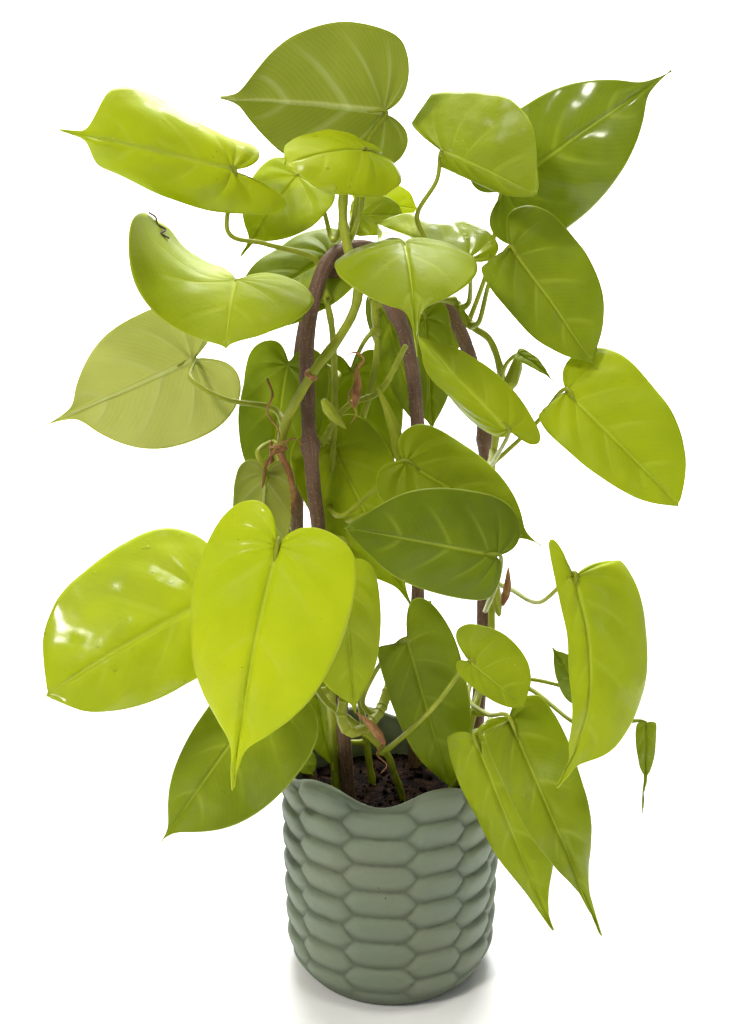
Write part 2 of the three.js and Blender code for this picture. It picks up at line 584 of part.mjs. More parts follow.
const VINES = {
  vine_left: {
    radius: 2.6,
    rooted: true,
    route: [
    [-31, -6, 112], [-33, -14, 159], [-35, -16, 190], [-41, -14, 219], [-51, -4, 242], [-59, 2, 269],
    [-60, -2, 298], [-59, -8, 322], [-50, -20, 343], [-40, -28, 360], [-29, -26, 374], [-21, -20, 387],
    [-18, -16, 399], [-21, -14, 413], [-24, -8, 423], [-26, 2, 436], [-25, 8, 457],
    ],
  },
  vine_center: {
    radius: 1.9,
    rooted: true,
    route: [
    [7, -12, 108], [2, -20, 128], [-4, -30, 148], [-22, -38, 169], [-38, -34, 182], [-46, -28, 204],
    [-46, -12, 230], [-41, 4, 260], [-35, 8, 282], [-32, 8, 316], [-31, 6, 349], [-32, 4, 376],
    [-35, 2, 393],
    ],
  },
  vine_right: {
    radius: 2.2,
    rooted: true,
    route: [
    [40, 8, 114], [48, 14, 148], [60, 40, 184], [60, 48, 235], [59, 48, 284], [61, 42, 315],
    [63, 36, 342], [56, 34, 366], [44, 32, 376], [35, 36, 389],
    ],
  },
  vine_back: {
    radius: 2.0,
    rooted: true,
    route: [
    [-11, 10, 110], [-18, 14, 159], [-27, 22, 194], [-31, 28, 241], [-28, 26, 277], [-22, 24, 307],
    [-13, 20, 336], [-8, 16, 364], [-10, 12, 392],
    ],
  },
  vine_cross: {
    radius: 1.6,
    rooted: false,
    route: [
    [-38, -8, 316], [-31, 0, 328], [-22, 2, 337], [-6, -2, 345], [7, -10, 370],
    ],
  },
  cut_stem: {
    radius: 2.9,
    rooted: false,
    route: [
    [-1, -14, 180], [-6, -26, 171], [-15, -47, 169], [-23, -53, 170], [-27, -54, 179], [-25, -52, 192],
    ],
  },
  root_long: {
    radius: 0.9,
    rooted: false,
    route: [
    [22, -2, 226], [18, -6, 217], [11, -10, 210], [9, -8, 198], [3, -12, 190], [-2, -6, 173],
    ],
  },
  root_short: {
    radius: 0.9,
    rooted: false,
    route: [
    [58, 22, 176], [53, 20, 163], [48, 6, 159],
    ],
  },
};

// Rolled young leaves, buds and dried sheaths: spindles from foot to tip.
const SHEATHS = {
  new_leaf: { foot: [6, -12, 302], tip: [-8, -8, 348], radius: 3.6 },
  bud_right: { foot: [65, 30, 339], tip: [71, 24, 364], radius: 4.2 },
  sheath_right: { foot: [63, 4, 221], tip: [65, -2, 246], radius: 2.4 },
  sheath_green: { foot: [63, 20, 209], tip: [54, 14, 243], radius: 3.0 },
  sheath_pale: { foot: [-25, -16, 276], tip: [-6, -40, 289], radius: 2.8 },
  sheath_high: { foot: [-36, -36, 346], tip: [-24, -34, 330], radius: 3.0 },
  sheath_left: { foot: [-72, 2, 279], tip: [-64, -18, 322], radius: 2.0 },
  sheath_center: { foot: [-20, -16, 338], tip: [-19, -14, 361], radius: 2.2 },
  sheath_low: { foot: [-4, -52, 162], tip: [-19, -58, 183], radius: 2.4 },
};

function makeSheath(sheath) {
  const foot = point(sheath.foot);
  const reach = point(sheath.tip).sub(foot);
  const length = reach.length();
  const shares = [[0, 0], [0.04, 0.45], [0.25, 1], [0.55, 0.9], [0.85, 0.4], [1, 0]];
  const profile = shares.map(([up, out]) => new THREE.Vector2(out * sheath.radius, up * length));
  const body = new THREE.LatheGeometry(profile, 8);
  const turn = new THREE.Quaternion().setFromUnitVectors(new THREE.Vector3(0, 1, 0), reach.normalize());
  body.applyQuaternion(turn);
  return body.translate(foot.x, foot.y, foot.z);
}

function straightDown(place, depth) {
  return [place[0] * 0.8, place[1] * 0.8, place[2] - depth];
}

// ---- materials ----------------------------------------------------------------------------------
function finish(color, roughness) {
  return new THREE.MeshStandardMaterial({ color, roughness, metalness: 0 });
}

const finishes = {
  pot: finish('#77887a', 0.75),
  soil: finish('#1d140e', 0.95),
  bark: finish('#6b4f45', 0.8),
  vine: finish('#9db336', 0.5),
  leaf: finish('#a3bd12', 0.4),
  sheath: finish('#8a5a2b', 0.85),
};

// ---- assembly -----------------------------------------------------------------------------------
const plant = new THREE.Group();

function addPiece(name, geometry, material) {
  const mesh = new THREE.Mesh(geometry, material);
  mesh.name = name;
  plant.add(mesh);
}

addPiece('pot', makePot(), finishes.pot);

let twigs = null;
for (const [name, places] of Object.entries(HOOPS)) {
  const ends = [places[0], places[places.length - 1]];
  const route = [straightDown(ends[0], TWIG_DEPTH), ...places, straightDown(ends[1], TWIG_DEPTH)];
  let piece = toSolid(rod(smoothRoute(route), TWIG_RADIUS, TWIG_STEP, 6));
  if (name === 'hoop_front') piece = piece.add(toSolid(rod(smoothRoute(STUB), STUB_RADIUS, STUB_STEP, 6)));
  addPiece(name, toGeometry(piece), finishes.bark);
  const around = toSolid(rod(smoothRoute(route), TWIG_RADIUS + GAP, TWIG_STEP, 6));
  twigs = twigs ? twigs.add(around) : around;
}

let stems = null;
for (const [name, vine] of Object.entries(VINES)) {
  const rooted = vine.rooted ? [straightDown(vine.route[0], ROOTED_DEPTH)] : [];
  const route = smoothRoute([...rooted, ...vine.route]);
  let piece = toSolid(rod(route, vine.radius, VINE_STEP, 6)).subtract(twigs);
  if (stems) piece = piece.subtract(stems);
  addPiece(name, toGeometry(largestPiece(piece)), finishes.vine);
  const around = toSolid(rod(route, vine.radius + GAP, VINE_STEP, 6));
  stems = stems ? stems.add(around) : around;
}

const held = twigs.add(stems);
addPiece('soil', toGeometry(toSolid(makeSoil()).subtract(held)), finishes.soil);
for (const [name, leaf] of Object.entries(LEAVES)) {
  addPiece(name, makeLeaf(leaf, held), finishes.leaf);
}

for (const [name, sheath] of Object.entries(SHEATHS)) {
  const piece = toSolid(makeSheath(sheath)).subtract(held);
  addPiece(name, toGeometry(largestPiece(piece)), finishes.sheath);
}

export default plant;
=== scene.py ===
"""Potted philodendron: a heart-leaved climber with yellow-green leaves, held up by two crossed twig hoops,
in a sage-green pot with pressed scales and a wavy rim. Places are in millimetres, as on a drawing, and are
turned into metres when a mesh is made. The origin is the middle of the pot's underside; -Y is the front."""
import math
from random import Random

import bpy
import numpy as np
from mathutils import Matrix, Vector, noise


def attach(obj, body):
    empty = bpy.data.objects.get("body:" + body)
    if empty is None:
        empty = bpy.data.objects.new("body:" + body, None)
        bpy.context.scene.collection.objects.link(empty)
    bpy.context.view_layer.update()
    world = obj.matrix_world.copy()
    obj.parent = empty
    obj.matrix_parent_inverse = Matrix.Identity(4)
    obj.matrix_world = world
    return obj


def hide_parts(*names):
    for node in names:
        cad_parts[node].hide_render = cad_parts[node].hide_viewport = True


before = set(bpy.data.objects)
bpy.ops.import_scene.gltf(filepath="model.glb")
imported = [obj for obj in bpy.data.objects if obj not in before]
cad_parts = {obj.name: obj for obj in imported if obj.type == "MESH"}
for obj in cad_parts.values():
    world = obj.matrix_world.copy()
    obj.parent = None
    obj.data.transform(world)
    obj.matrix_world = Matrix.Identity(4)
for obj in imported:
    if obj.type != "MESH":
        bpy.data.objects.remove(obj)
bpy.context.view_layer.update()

MM = 0.001
TURN = 2 * math.pi


# ---- camera, floor and light -----------------------------------------------------------------------
LENS = 45.0
CAMERA_PLACE = (-10, -683, 456)
CAMERA_DIP = 14.7


def set_camera():
    data = bpy.data.cameras.new("viewpoint")
    data.lens = LENS
    data.sensor_width = 36.0
    data.clip_start = 0.01
    camera = bpy.data.objects.new("viewpoint", data)
    camera.location = Vector(CAMERA_PLACE) * MM
    camera.rotation_euler = (math.radians(90 - CAMERA_DIP), 0, 0)
    bpy.context.scene.collection.objects.link(camera)
    bpy.context.scene.camera = camera


def soft_light(name, place, aim, size, power, colour):
    data = bpy.data.lights.new(name, "AREA")
    data.shape = "DISK"
    data.size = size
    data.energy = power
    data.color = colour
    lamp = bpy.data.objects.new(name, data)
    lamp.location = place
    lamp.rotation_euler = (Vector(aim) - Vector(place)).to_track_quat("-Z", "Y").to_euler()
    bpy.context.scene.collection.objects.link(lamp)


def set_light():
    soft_light("window", (-1.0, -1.2, 1.6), (0, 0, 0.3), 0.35, 21, (1.0, 0.96, 0.88))
    soft_light("ceiling", (0.1, -0.45, 1.9), (0, 0, 0.2), 0.6, 10, (1.0, 0.98, 0.94))
    soft_light("fill", (1.5, -1.1, 0.8), (0, 0, 0.3), 1.0, 2.5, (0.95, 0.98, 1.0))
    soft_light("backdrop wash", (0, 1.3, 2.4), (0, 2.3, 0.8), 1.6, 130, (1.0, 1.0, 1.0))
    soft_light("floor wash", (0, 1.2, 1.6), (0, 1.3, 0), 1.2, 30, (1.0, 1.0, 1.0))
    world = bpy.data.worlds.new("studio")
    world.use_nodes = True
    sky = world.node_tree.nodes["Background"]
    sky.inputs["Color"].default_value = (1.0, 1.0, 1.0, 1)
    sky.inputs["Strength"].default_value = 0.19
    bpy.context.scene.world = world
    bpy.context.scene.view_settings.view_transform = "Standard"


# ---- shader maths ----------------------------------------------------------------------------------
class Wire:
    """A number that varies over a surface. Arithmetic on it adds Math nodes."""

    def __init__(self, paint, socket):
        self.paint = paint
        self.socket = socket

    def math(self, operation, *others, first=None):
        values = [self, *others] if first is None else [first, self]
        node = self.paint.node("ShaderNodeMath", {"operation": operation}, values)
        return Wire(self.paint, node.outputs[0])

    def __add__(self, other):
        return self.math("ADD", other)

    def __radd__(self, other):
        return self.math("ADD", other)

    def __sub__(self, other):
        return self.math("SUBTRACT", other)

    def __rsub__(self, other):
        return self.math("SUBTRACT", first=other)

    def __mul__(self, other):
        return self.math("MULTIPLY", other)

    def __rmul__(self, other):
        return self.math("MULTIPLY", other)

    def size(self):
        return self.math("ABSOLUTE")

    def clipped(self):
        return self.math("MAXIMUM", 0.0).math("MINIMUM", 1.0)

    def ramp(self, low, high):
        """0 below low, 1 above high, smooth between. With low above high it falls instead."""
        turned = low > high
        settings = {"interpolation_type": "SMOOTHSTEP"}
        span = {"Value": self, "From Min": min(low, high), "From Max": max(low, high)}
        node = self.paint.node("ShaderNodeMapRange", settings, span)
        out = Wire(self.paint, node.outputs[0])
        return 1.0 - out if turned else out


class Paint:
    """One material, and the single way of adding nodes to it."""

    def __init__(self, name):
        self.material = bpy.data.materials.new(name)
        self.material.use_nodes = True
        self.tree = self.material.node_tree
        self.tree.nodes.clear()
        self.end = self.tree.nodes.new("ShaderNodeOutputMaterial")

    def node(self, kind, settings=None, inputs=()):
        node = self.tree.nodes.new(kind)
        for name, value in (settings or {}).items():
            setattr(node, name, value)
        pairs = inputs.items() if isinstance(inputs, dict) else enumerate(inputs)
        for key, value in pairs:
            self.set(node.inputs[key], value)
        return node

    def set(self, socket, value):
        if isinstance(value, Wire):
            value = value.socket
        if isinstance(value, bpy.types.NodeSocket):
            self.tree.links.new(value, socket)
        elif isinstance(value, (tuple, list)) and socket.type == "RGBA":
            socket.default_value = (*value, 1.0)
        else:
            socket.default_value = value

    def place(self):
        return self.node("ShaderNodeTexCoord").outputs["Object"]

    def stretched(self, factors):
        settings = {"Vector": self.place(), "Scale": factors}
        return self.node("ShaderNodeMapping", None, settings).outputs[0]

    def grain(self, scale, detail=4.0, roughness=0.55, where=None):
        inputs = {"Vector": where or self.place(), "Scale": scale, "Detail": detail, "Roughness": roughness}
        return Wire(self, self.node("ShaderNodeTexNoise", None, inputs).outputs[0])

    def cells(self, scale):
        inputs = {"Vector": self.place(), "Scale": scale}
        return Wire(self, self.node("ShaderNodeTexVoronoi", None, inputs).outputs["Distance"])

    def attribute(self, name):
        settings = {"attribute_name": name}
        return Wire(self, self.node("ShaderNodeAttribute", settings).outputs["Fac"])

    def flat(self, name):
        """The two coordinates of a UV map."""
        vector = self.node("ShaderNodeUVMap", {"uv_map": name}).outputs[0]
        split = self.node("ShaderNodeSeparateXYZ", None, [vector])
        return Wire(self, split.outputs[0]), Wire(self, split.outputs[1])

    def streaks(self, factors, detail):
        """Grain drawn out along a rod: factors are along it and round it."""
        flat = self.node("ShaderNodeUVMap", {"uv_map": "length"}).outputs[0]
        drawn = {"Vector": flat, "Scale": (*factors, 1)}
        return self.grain(1.0, detail, where=self.node("ShaderNodeMapping", None, drawn).outputs[0])

    def blend(self, share, first, second):
        settings = {"data_type": "RGBA"}
        node = self.node("ShaderNodeMix", settings)
        colours = [socket for socket in node.inputs if socket.type == "RGBA"]
        self.set(node.inputs[0], share)
        self.set(colours[0], first)
        self.set(colours[1], second)
        return [socket for socket in node.outputs if socket.type == "RGBA"][0]

    def bump(self, height, depth):
        inputs = {"Height": height, "Distance": depth, "Strength": 1.0}
        return self.node("ShaderNodeBump", None, inputs).outputs[0]

    def surface(self, **inputs):
        names = {name.replace("_", " "): value for name, value in inputs.items()}
        return self.node("ShaderNodeBsdfPrincipled", None, names).outputs[0]

    def finish(self, shader):
        self.tree.links.new(shader, self.end.inputs["Surface"])
        return self.material


# ---- colours (linear) ------------------------------------------------------------------------------
# leaf greens from lime to deep: each leaf's tone picks among them, partly its own colour and partly painted
# light and shade for how brightly the leaf is lit
LEAF_BRIGHT = (0.60, 0.68, 0.004)
LEAF_LIME = (0.50, 0.61, 0.004)
LEAF_MID = (0.16, 0.225, 0.002)
LEAF_DEEP = (0.11, 0.155, 0.002)
LEAF_PALE = (0.62, 0.70, 0.08)
LEAF_GLOW = (0.50, 0.60, 0.006)
LEAF_THINNESS = 0.22              # share of the light that goes through a blade
UNDER_PALE = (0.58, 0.60, 0.15)
UNDER_DULL = (0.24, 0.28, 0.012)
UNDER_RIB = (0.62, 0.66, 0.26)
STEM_GREEN = (0.21, 0.25, 0.008)
STEM_PALE = (0.34, 0.37, 0.03)
STEM_DEEP = (0.10, 0.13, 0.004)
BARK_BROWN = (0.105, 0.052, 0.028)
BARK_PURPLE = (0.155, 0.08, 0.052)
BARK_GREY = (0.30, 0.21, 0.15)
BARK_DARK = (0.025, 0.014, 0.009)
BARK_PORE = (0.34, 0.25, 0.15)
POT_SAGE = (0.15, 0.188, 0.124)
POT_SAGE_WARM = (0.165, 0.194, 0.127)
# painted shade for the seams, the lower part of each scale, the rounded foot and the inside
POT_PAINTED_SHADE = (0.045, 0.055, 0.03)
POT_PALE = (0.22, 0.26, 0.18)


# ---- shaping ---------------------------------------------------------------------------------------
def smoothstep(low, high, value):
    share = np.clip((value - low) / (high - low), 0, 1)
    return share * share * (3 - 2 * share)


def catmull(points, count):
    """Even steps along a smooth curve through the points."""
    points = np.asarray(points, float)
    ends = [2 * points[0] - points[1], *points, 2 * points[-1] - points[-2]]
    fine = []
    for before, start, end, after in zip(ends, ends[1:], ends[2:], ends[3:]):
        for step in np.arange(0, 1, 0.02):
            pull = 2 * before - 5 * start + 4 * end - after
            swing = 3 * start - before - 3 * end + after
            fine.append(start + step * ((end - before) + step * (pull + step * swing)) / 2)
    fine.append(points[-1])
    fine = np.array(fine)
    run = np.concatenate([[0], np.cumsum(np.linalg.norm(np.diff(fine, axis=0), axis=1))])
    places = np.linspace(0, run[-1], count)
    return np.stack([np.interp(places, run, fine[:, axis]) for axis in range(fine.shape[1])], axis=1)


def unit(vector):
    return vector / np.linalg.norm(vector)


def noise_at(points, size, seed):
    """Smooth noise from -1 to 1 at each point; size is the size of its lumps in millimetres."""
    shift = Vector((seed * 13.7, seed * 7.3, seed * 3.1))
    return np.array([noise.noise(Vector(point) / size + shift) for point in points])


def active_piece(name):
    piece = bpy.context.object
    piece.name = name
    piece.data.name = name
    return piece


def read_points(piece):
    flat = np.empty(3 * len(piece.data.vertices))
    piece.data.vertices.foreach_get("co", flat)
    return flat.reshape(-1, 3)


def write_points(piece, points):
    piece.data.vertices.foreach_set("co", np.asarray(points, dtype=float).ravel())
    piece.data.update()


def sheet(name, rows, columns):
    """A flat grid one unit square. Returns the piece, each point's share along it, 0 to 1, and its share
    across it, -1 to 1."""
    bpy.ops.object.select_all(action="DESELECT")
    bpy.ops.mesh.primitive_grid_add(x_subdivisions=rows, y_subdivisions=columns, size=1, location=(0, 0, 0))
    piece = active_piece(name)
    flat = read_points(piece)
    return piece, flat[:, 0] + 0.5, -2 * flat[:, 1]


def close_up(piece, distance=0.00002):
    """Joins points that lie together."""
    bpy.ops.object.mode_set(mode="EDIT")
    bpy.ops.mesh.select_all(action="SELECT")
    bpy.ops.mesh.remove_doubles(threshold=distance)
    bpy.ops.object.mode_set(mode="OBJECT")


def turn_out(piece):
    bpy.ops.object.mode_set(mode="EDIT")
    bpy.ops.mesh.select_all(action="SELECT")
    bpy.ops.mesh.normals_make_consistent(inside=False)
    bpy.ops.object.mode_set(mode="OBJECT")


def mark(piece, name, values):
    """Stores one number per point, for the materials."""
    store = piece.data.attributes.new(name, "FLOAT", "POINT")
    store.data.foreach_set("value", np.asarray(values, dtype=float).ravel())


def mark_flat(piece, name, along, across):
    """Stores two numbers per point as a UV map."""
    layer = piece.data.uv_layers.new(name=name)
    corners = np.empty(len(piece.data.loops), dtype=np.int64)
    piece.data.loops.foreach_get("vertex_index", corners)
    layer.data.foreach_set("uv", np.stack([along[corners], across[corners]], axis=1).ravel())


def apply_modifier(piece, name, kind, **settings):
    modifier = piece.modifiers.new(name, kind)
    for key, value in settings.items():
        setattr(modifier, key, value)
    bpy.context.view_layer.objects.active = piece
    bpy.ops.object.modifier_apply(modifier=modifier.name)


def join(first, others):
    if not others:
        return first
    bpy.ops.object.select_all(action="DESELECT")
    for piece in [first, *others]:
        piece.select_set(True)
    bpy.context.view_layer.objects.active = first
    bpy.ops.object.join()
    return first


def smooth(piece):
    bpy.ops.object.select_all(action="DESELECT")
    piece.select_set(True)
    bpy.context.view_layer.objects.active = piece
    bpy.ops.object.shade_smooth()


def give(piece, *materials):
    for material in materials:
        piece.data.materials.append(material)


def stand_in_for(piece, node):
    smooth(piece)
    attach(piece, "root")
    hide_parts(node)


def frames_along(line):
    """Directions across a line at each of its points, turning as little as they can."""
    ahead = np.gradient(line, axis=0)
    ahead /= np.linalg.norm(ahead, axis=1)[:, None]
    side = np.cross(ahead[0], (0.31, 0.2, 0.93))
    sides = []
    for direction in ahead:
        side = unit(side - direction * (side @ direction))
        sides.append(side)
    sides = np.array(sides)
    return sides, np.cross(ahead, sides)


def tube(name, route, radius, rings, sides, relief=None):
    """A round rod along a route. radius is a number or a function of the share along it; relief is a
    function of the share along, the turn round it and the points, and gives millimetres outward."""
    piece, along, across = sheet(name, rings, sides)
    line = catmull(route, rings + 1)
    side, lift = frames_along(line)
    row = np.clip(np.rint(along * rings).astype(int), 0, rings)
    turn = np.pi * across
    girth = radius(along) if callable(radius) else np.full_like(along, radius)
    outward = side[row] * np.cos(turn)[:, None] + lift[row] * np.sin(turn)[:, None]
    points = line[row] + outward * girth[:, None]
    if relief is not None:
        points += outward * relief(along, turn, line[row] + outward * np.mean(girth))[:, None]
    write_points(piece, points * MM)
    mark_flat(piece, "length", along * np.sum(np.linalg.norm(np.diff(line, axis=0), axis=1)) * MM, turn)
    close_up(piece)
    bpy.ops.object.mode_set(mode="EDIT")
    bpy.ops.mesh.select_all(action="SELECT")
    bpy.ops.mesh.fill_holes(sides=0)
    bpy.ops.mesh.normals_make_consistent(inside=False)
    bpy.ops.object.mode_set(mode="OBJECT")
    return piece


# ---- pot -------------------------------------------------------------------------------------------
POT_RADIUS = 65
POT_FOOT_RADIUS = 50
POT_FOOT_ROUNDING = 25            # height over which the rounded bottom becomes the side
POT_TAPER = 3                     # how much narrower the side is at its foot
POT_WALL = 6.5
POT_FLOOR = 8
POT_COLUMNS = 384
POT_ROWS = 190
POT_SIDE_ROWS = 140               # of them, those on the outside between foot and rim
RIM_CREST = 137
RIM_DIP = 8.5                     # how far the rim's hollows lie below its crests
SCALE_PITCH = 16.1                # height of one scale
SCALE_START = 5.6                 # height of the lowest whole scale's middle in the front column
SCALE_RELIEF = 3.3
SCALE_END = 0.19                  # how far a scale's point reaches past its column's edge, in columns
# Where the columns of scales meet, in degrees from the front. The columns aren't equally wide.
SCALE_EDGES = (-23.5, 10.5, 38, 68, 98, 128, 157, 187, 218, 248, 277, 306.5, 336.5)


def column_at(turn):
    """Which column of scales a direction falls in, as a number that is whole at a column's middle."""
    wrapped = (np.degrees(turn) - SCALE_EDGES[0]) % 360 + SCALE_EDGES[0]
    return np.interp(wrapped, SCALE_EDGES, np.arange(len(SCALE_EDGES))) - 0.5


def scale_swell(turn, height):
    """How far the surface stands out, 0 in a seam to 1 on the upper edge of a scale."""
    column = column_at(turn)
    swell = np.zeros_like(column)
    low = np.floor(column)
    for middle in (low, low + 1):
        odd = np.mod(middle, 2)
        row = (height - SCALE_START) / SCALE_PITCH - odd / 2
        up = row - np.rint(row)
        crest = (odd == 1) & (height > SCALE_START + 7 * SCALE_PITCH)
        up = np.where(crest, np.minimum(row - 7, 0.2), up)
        across = np.abs(column - middle)
        from_top = (0.5 - up) * SCALE_PITCH
        from_bottom = (up + 0.5) * SCALE_PITCH
        from_end = (0.5 + SCALE_END / 2 - SCALE_END * 2 * np.abs(up) - across) * 26
        top = np.sqrt(np.clip(1 - (1 - np.clip(from_top / 3.4, 0, 1)) ** 2, 0, 1))
        bottom = np.clip(1 - (1 - np.clip(from_bottom / 15, 0, 1)) ** 2, 0, 1)
        end = np.sqrt(np.clip(1 - (1 - np.clip(from_end / 8, 0, 1)) ** 2, 0, 1))
        swell = np.maximum(swell, top * end * (0.05 + 0.95 * bottom) * (from_end > 0))
    return swell


def rim_height(turn):
    dip = np.abs(np.cos(np.pi * column_at(turn) / 2))
    return RIM_CREST - RIM_DIP * dip ** 2.6


def make_pot(glaze):
    """The wall runs from the middle of the underside up the outside, over the rim and down the inside."""
    rows = POT_ROWS
    piece, along, across = sheet("pot", rows, POT_COLUMNS)
    turn = np.pi * across
    row = along * rows
    rim = rim_height(turn)
    bore = POT_RADIUS - POT_WALL
    side_rows = POT_SIDE_ROWS
    share = np.clip((row - 8) / side_rows, 0, 1)
    height = share * (rim - 2)
    rounding = np.clip(1 - height / POT_FOOT_ROUNDING, 0, 1)
    body = POT_RADIUS - POT_TAPER * (1 - share) - (POT_RADIUS - POT_FOOT_RADIUS - 3) * rounding ** 2.2
    fade = smoothstep(0, POT_FOOT_ROUNDING, height) * (1 - 0.5 * smoothstep(-5, 0, height - rim))
    lip = np.clip((height - rim + 7) / 7, 0, 1)
    radius = body - SCALE_RELIEF * (1 - scale_swell(turn, height)) * fade - 1.6 * lip ** 2
    radius = np.where(row < 8, radius * np.clip(row / 8, 0, 1), radius)
    # over the rim in twelve rows, then down the bore
    over = np.clip((row - 8 - side_rows) / 12, 0, 1)
    bend = np.pi * over
    outer = POT_RADIUS - 1.6 - SCALE_RELIEF * 0.5 * (1 - scale_swell(turn, rim - 2))
    middle, half = (outer + bore) / 2, (outer - bore) / 2
    on_rim = row > 8 + side_rows
    radius = np.where(on_rim, middle + half * np.cos(bend), radius)
    height = np.where(on_rim, rim - 2 + 2 * np.sin(bend), height)
    down = np.clip((row - 20 - side_rows) / (rows - 20 - side_rows), 0, 1)
    inside = row > 20 + side_rows
    depth = np.clip(down / 0.7, 0, 1)
    height = np.where(inside, (rim - 2) * (1 - depth) + POT_FLOOR * depth, height)
    inner = bore - 2 * depth - 10 * np.clip(depth - 0.8, 0, 1) ** 2 * 25 / 5
    radius = np.where(inside, inner * (1 - np.clip((down - 0.7) / 0.3, 0, 1)), radius)
    points = np.stack([radius * np.sin(turn), -radius * np.cos(turn), height], axis=1)
    ripple = noise_at(points, 18, 4) * 0.25 + noise_at(points, 7, 5) * 0.08
    out = np.stack([np.sin(turn), -np.cos(turn), np.zeros_like(turn)], axis=1)
    points += out * (ripple * smoothstep(4, 20, height))[:, None]
    write_points(piece, points * MM)
    # how sunk each point is: 1 in the seams, on the rounded foot and low inside, partly over the rim; it sets
    # the painted shade in the glaze
    mark(piece, "seam", 1 - scale_swell(turn, height) * fade)
    close_up(piece)
    turn_out(piece)
    give(piece, glaze)
    stand_in_for(piece, "pot")
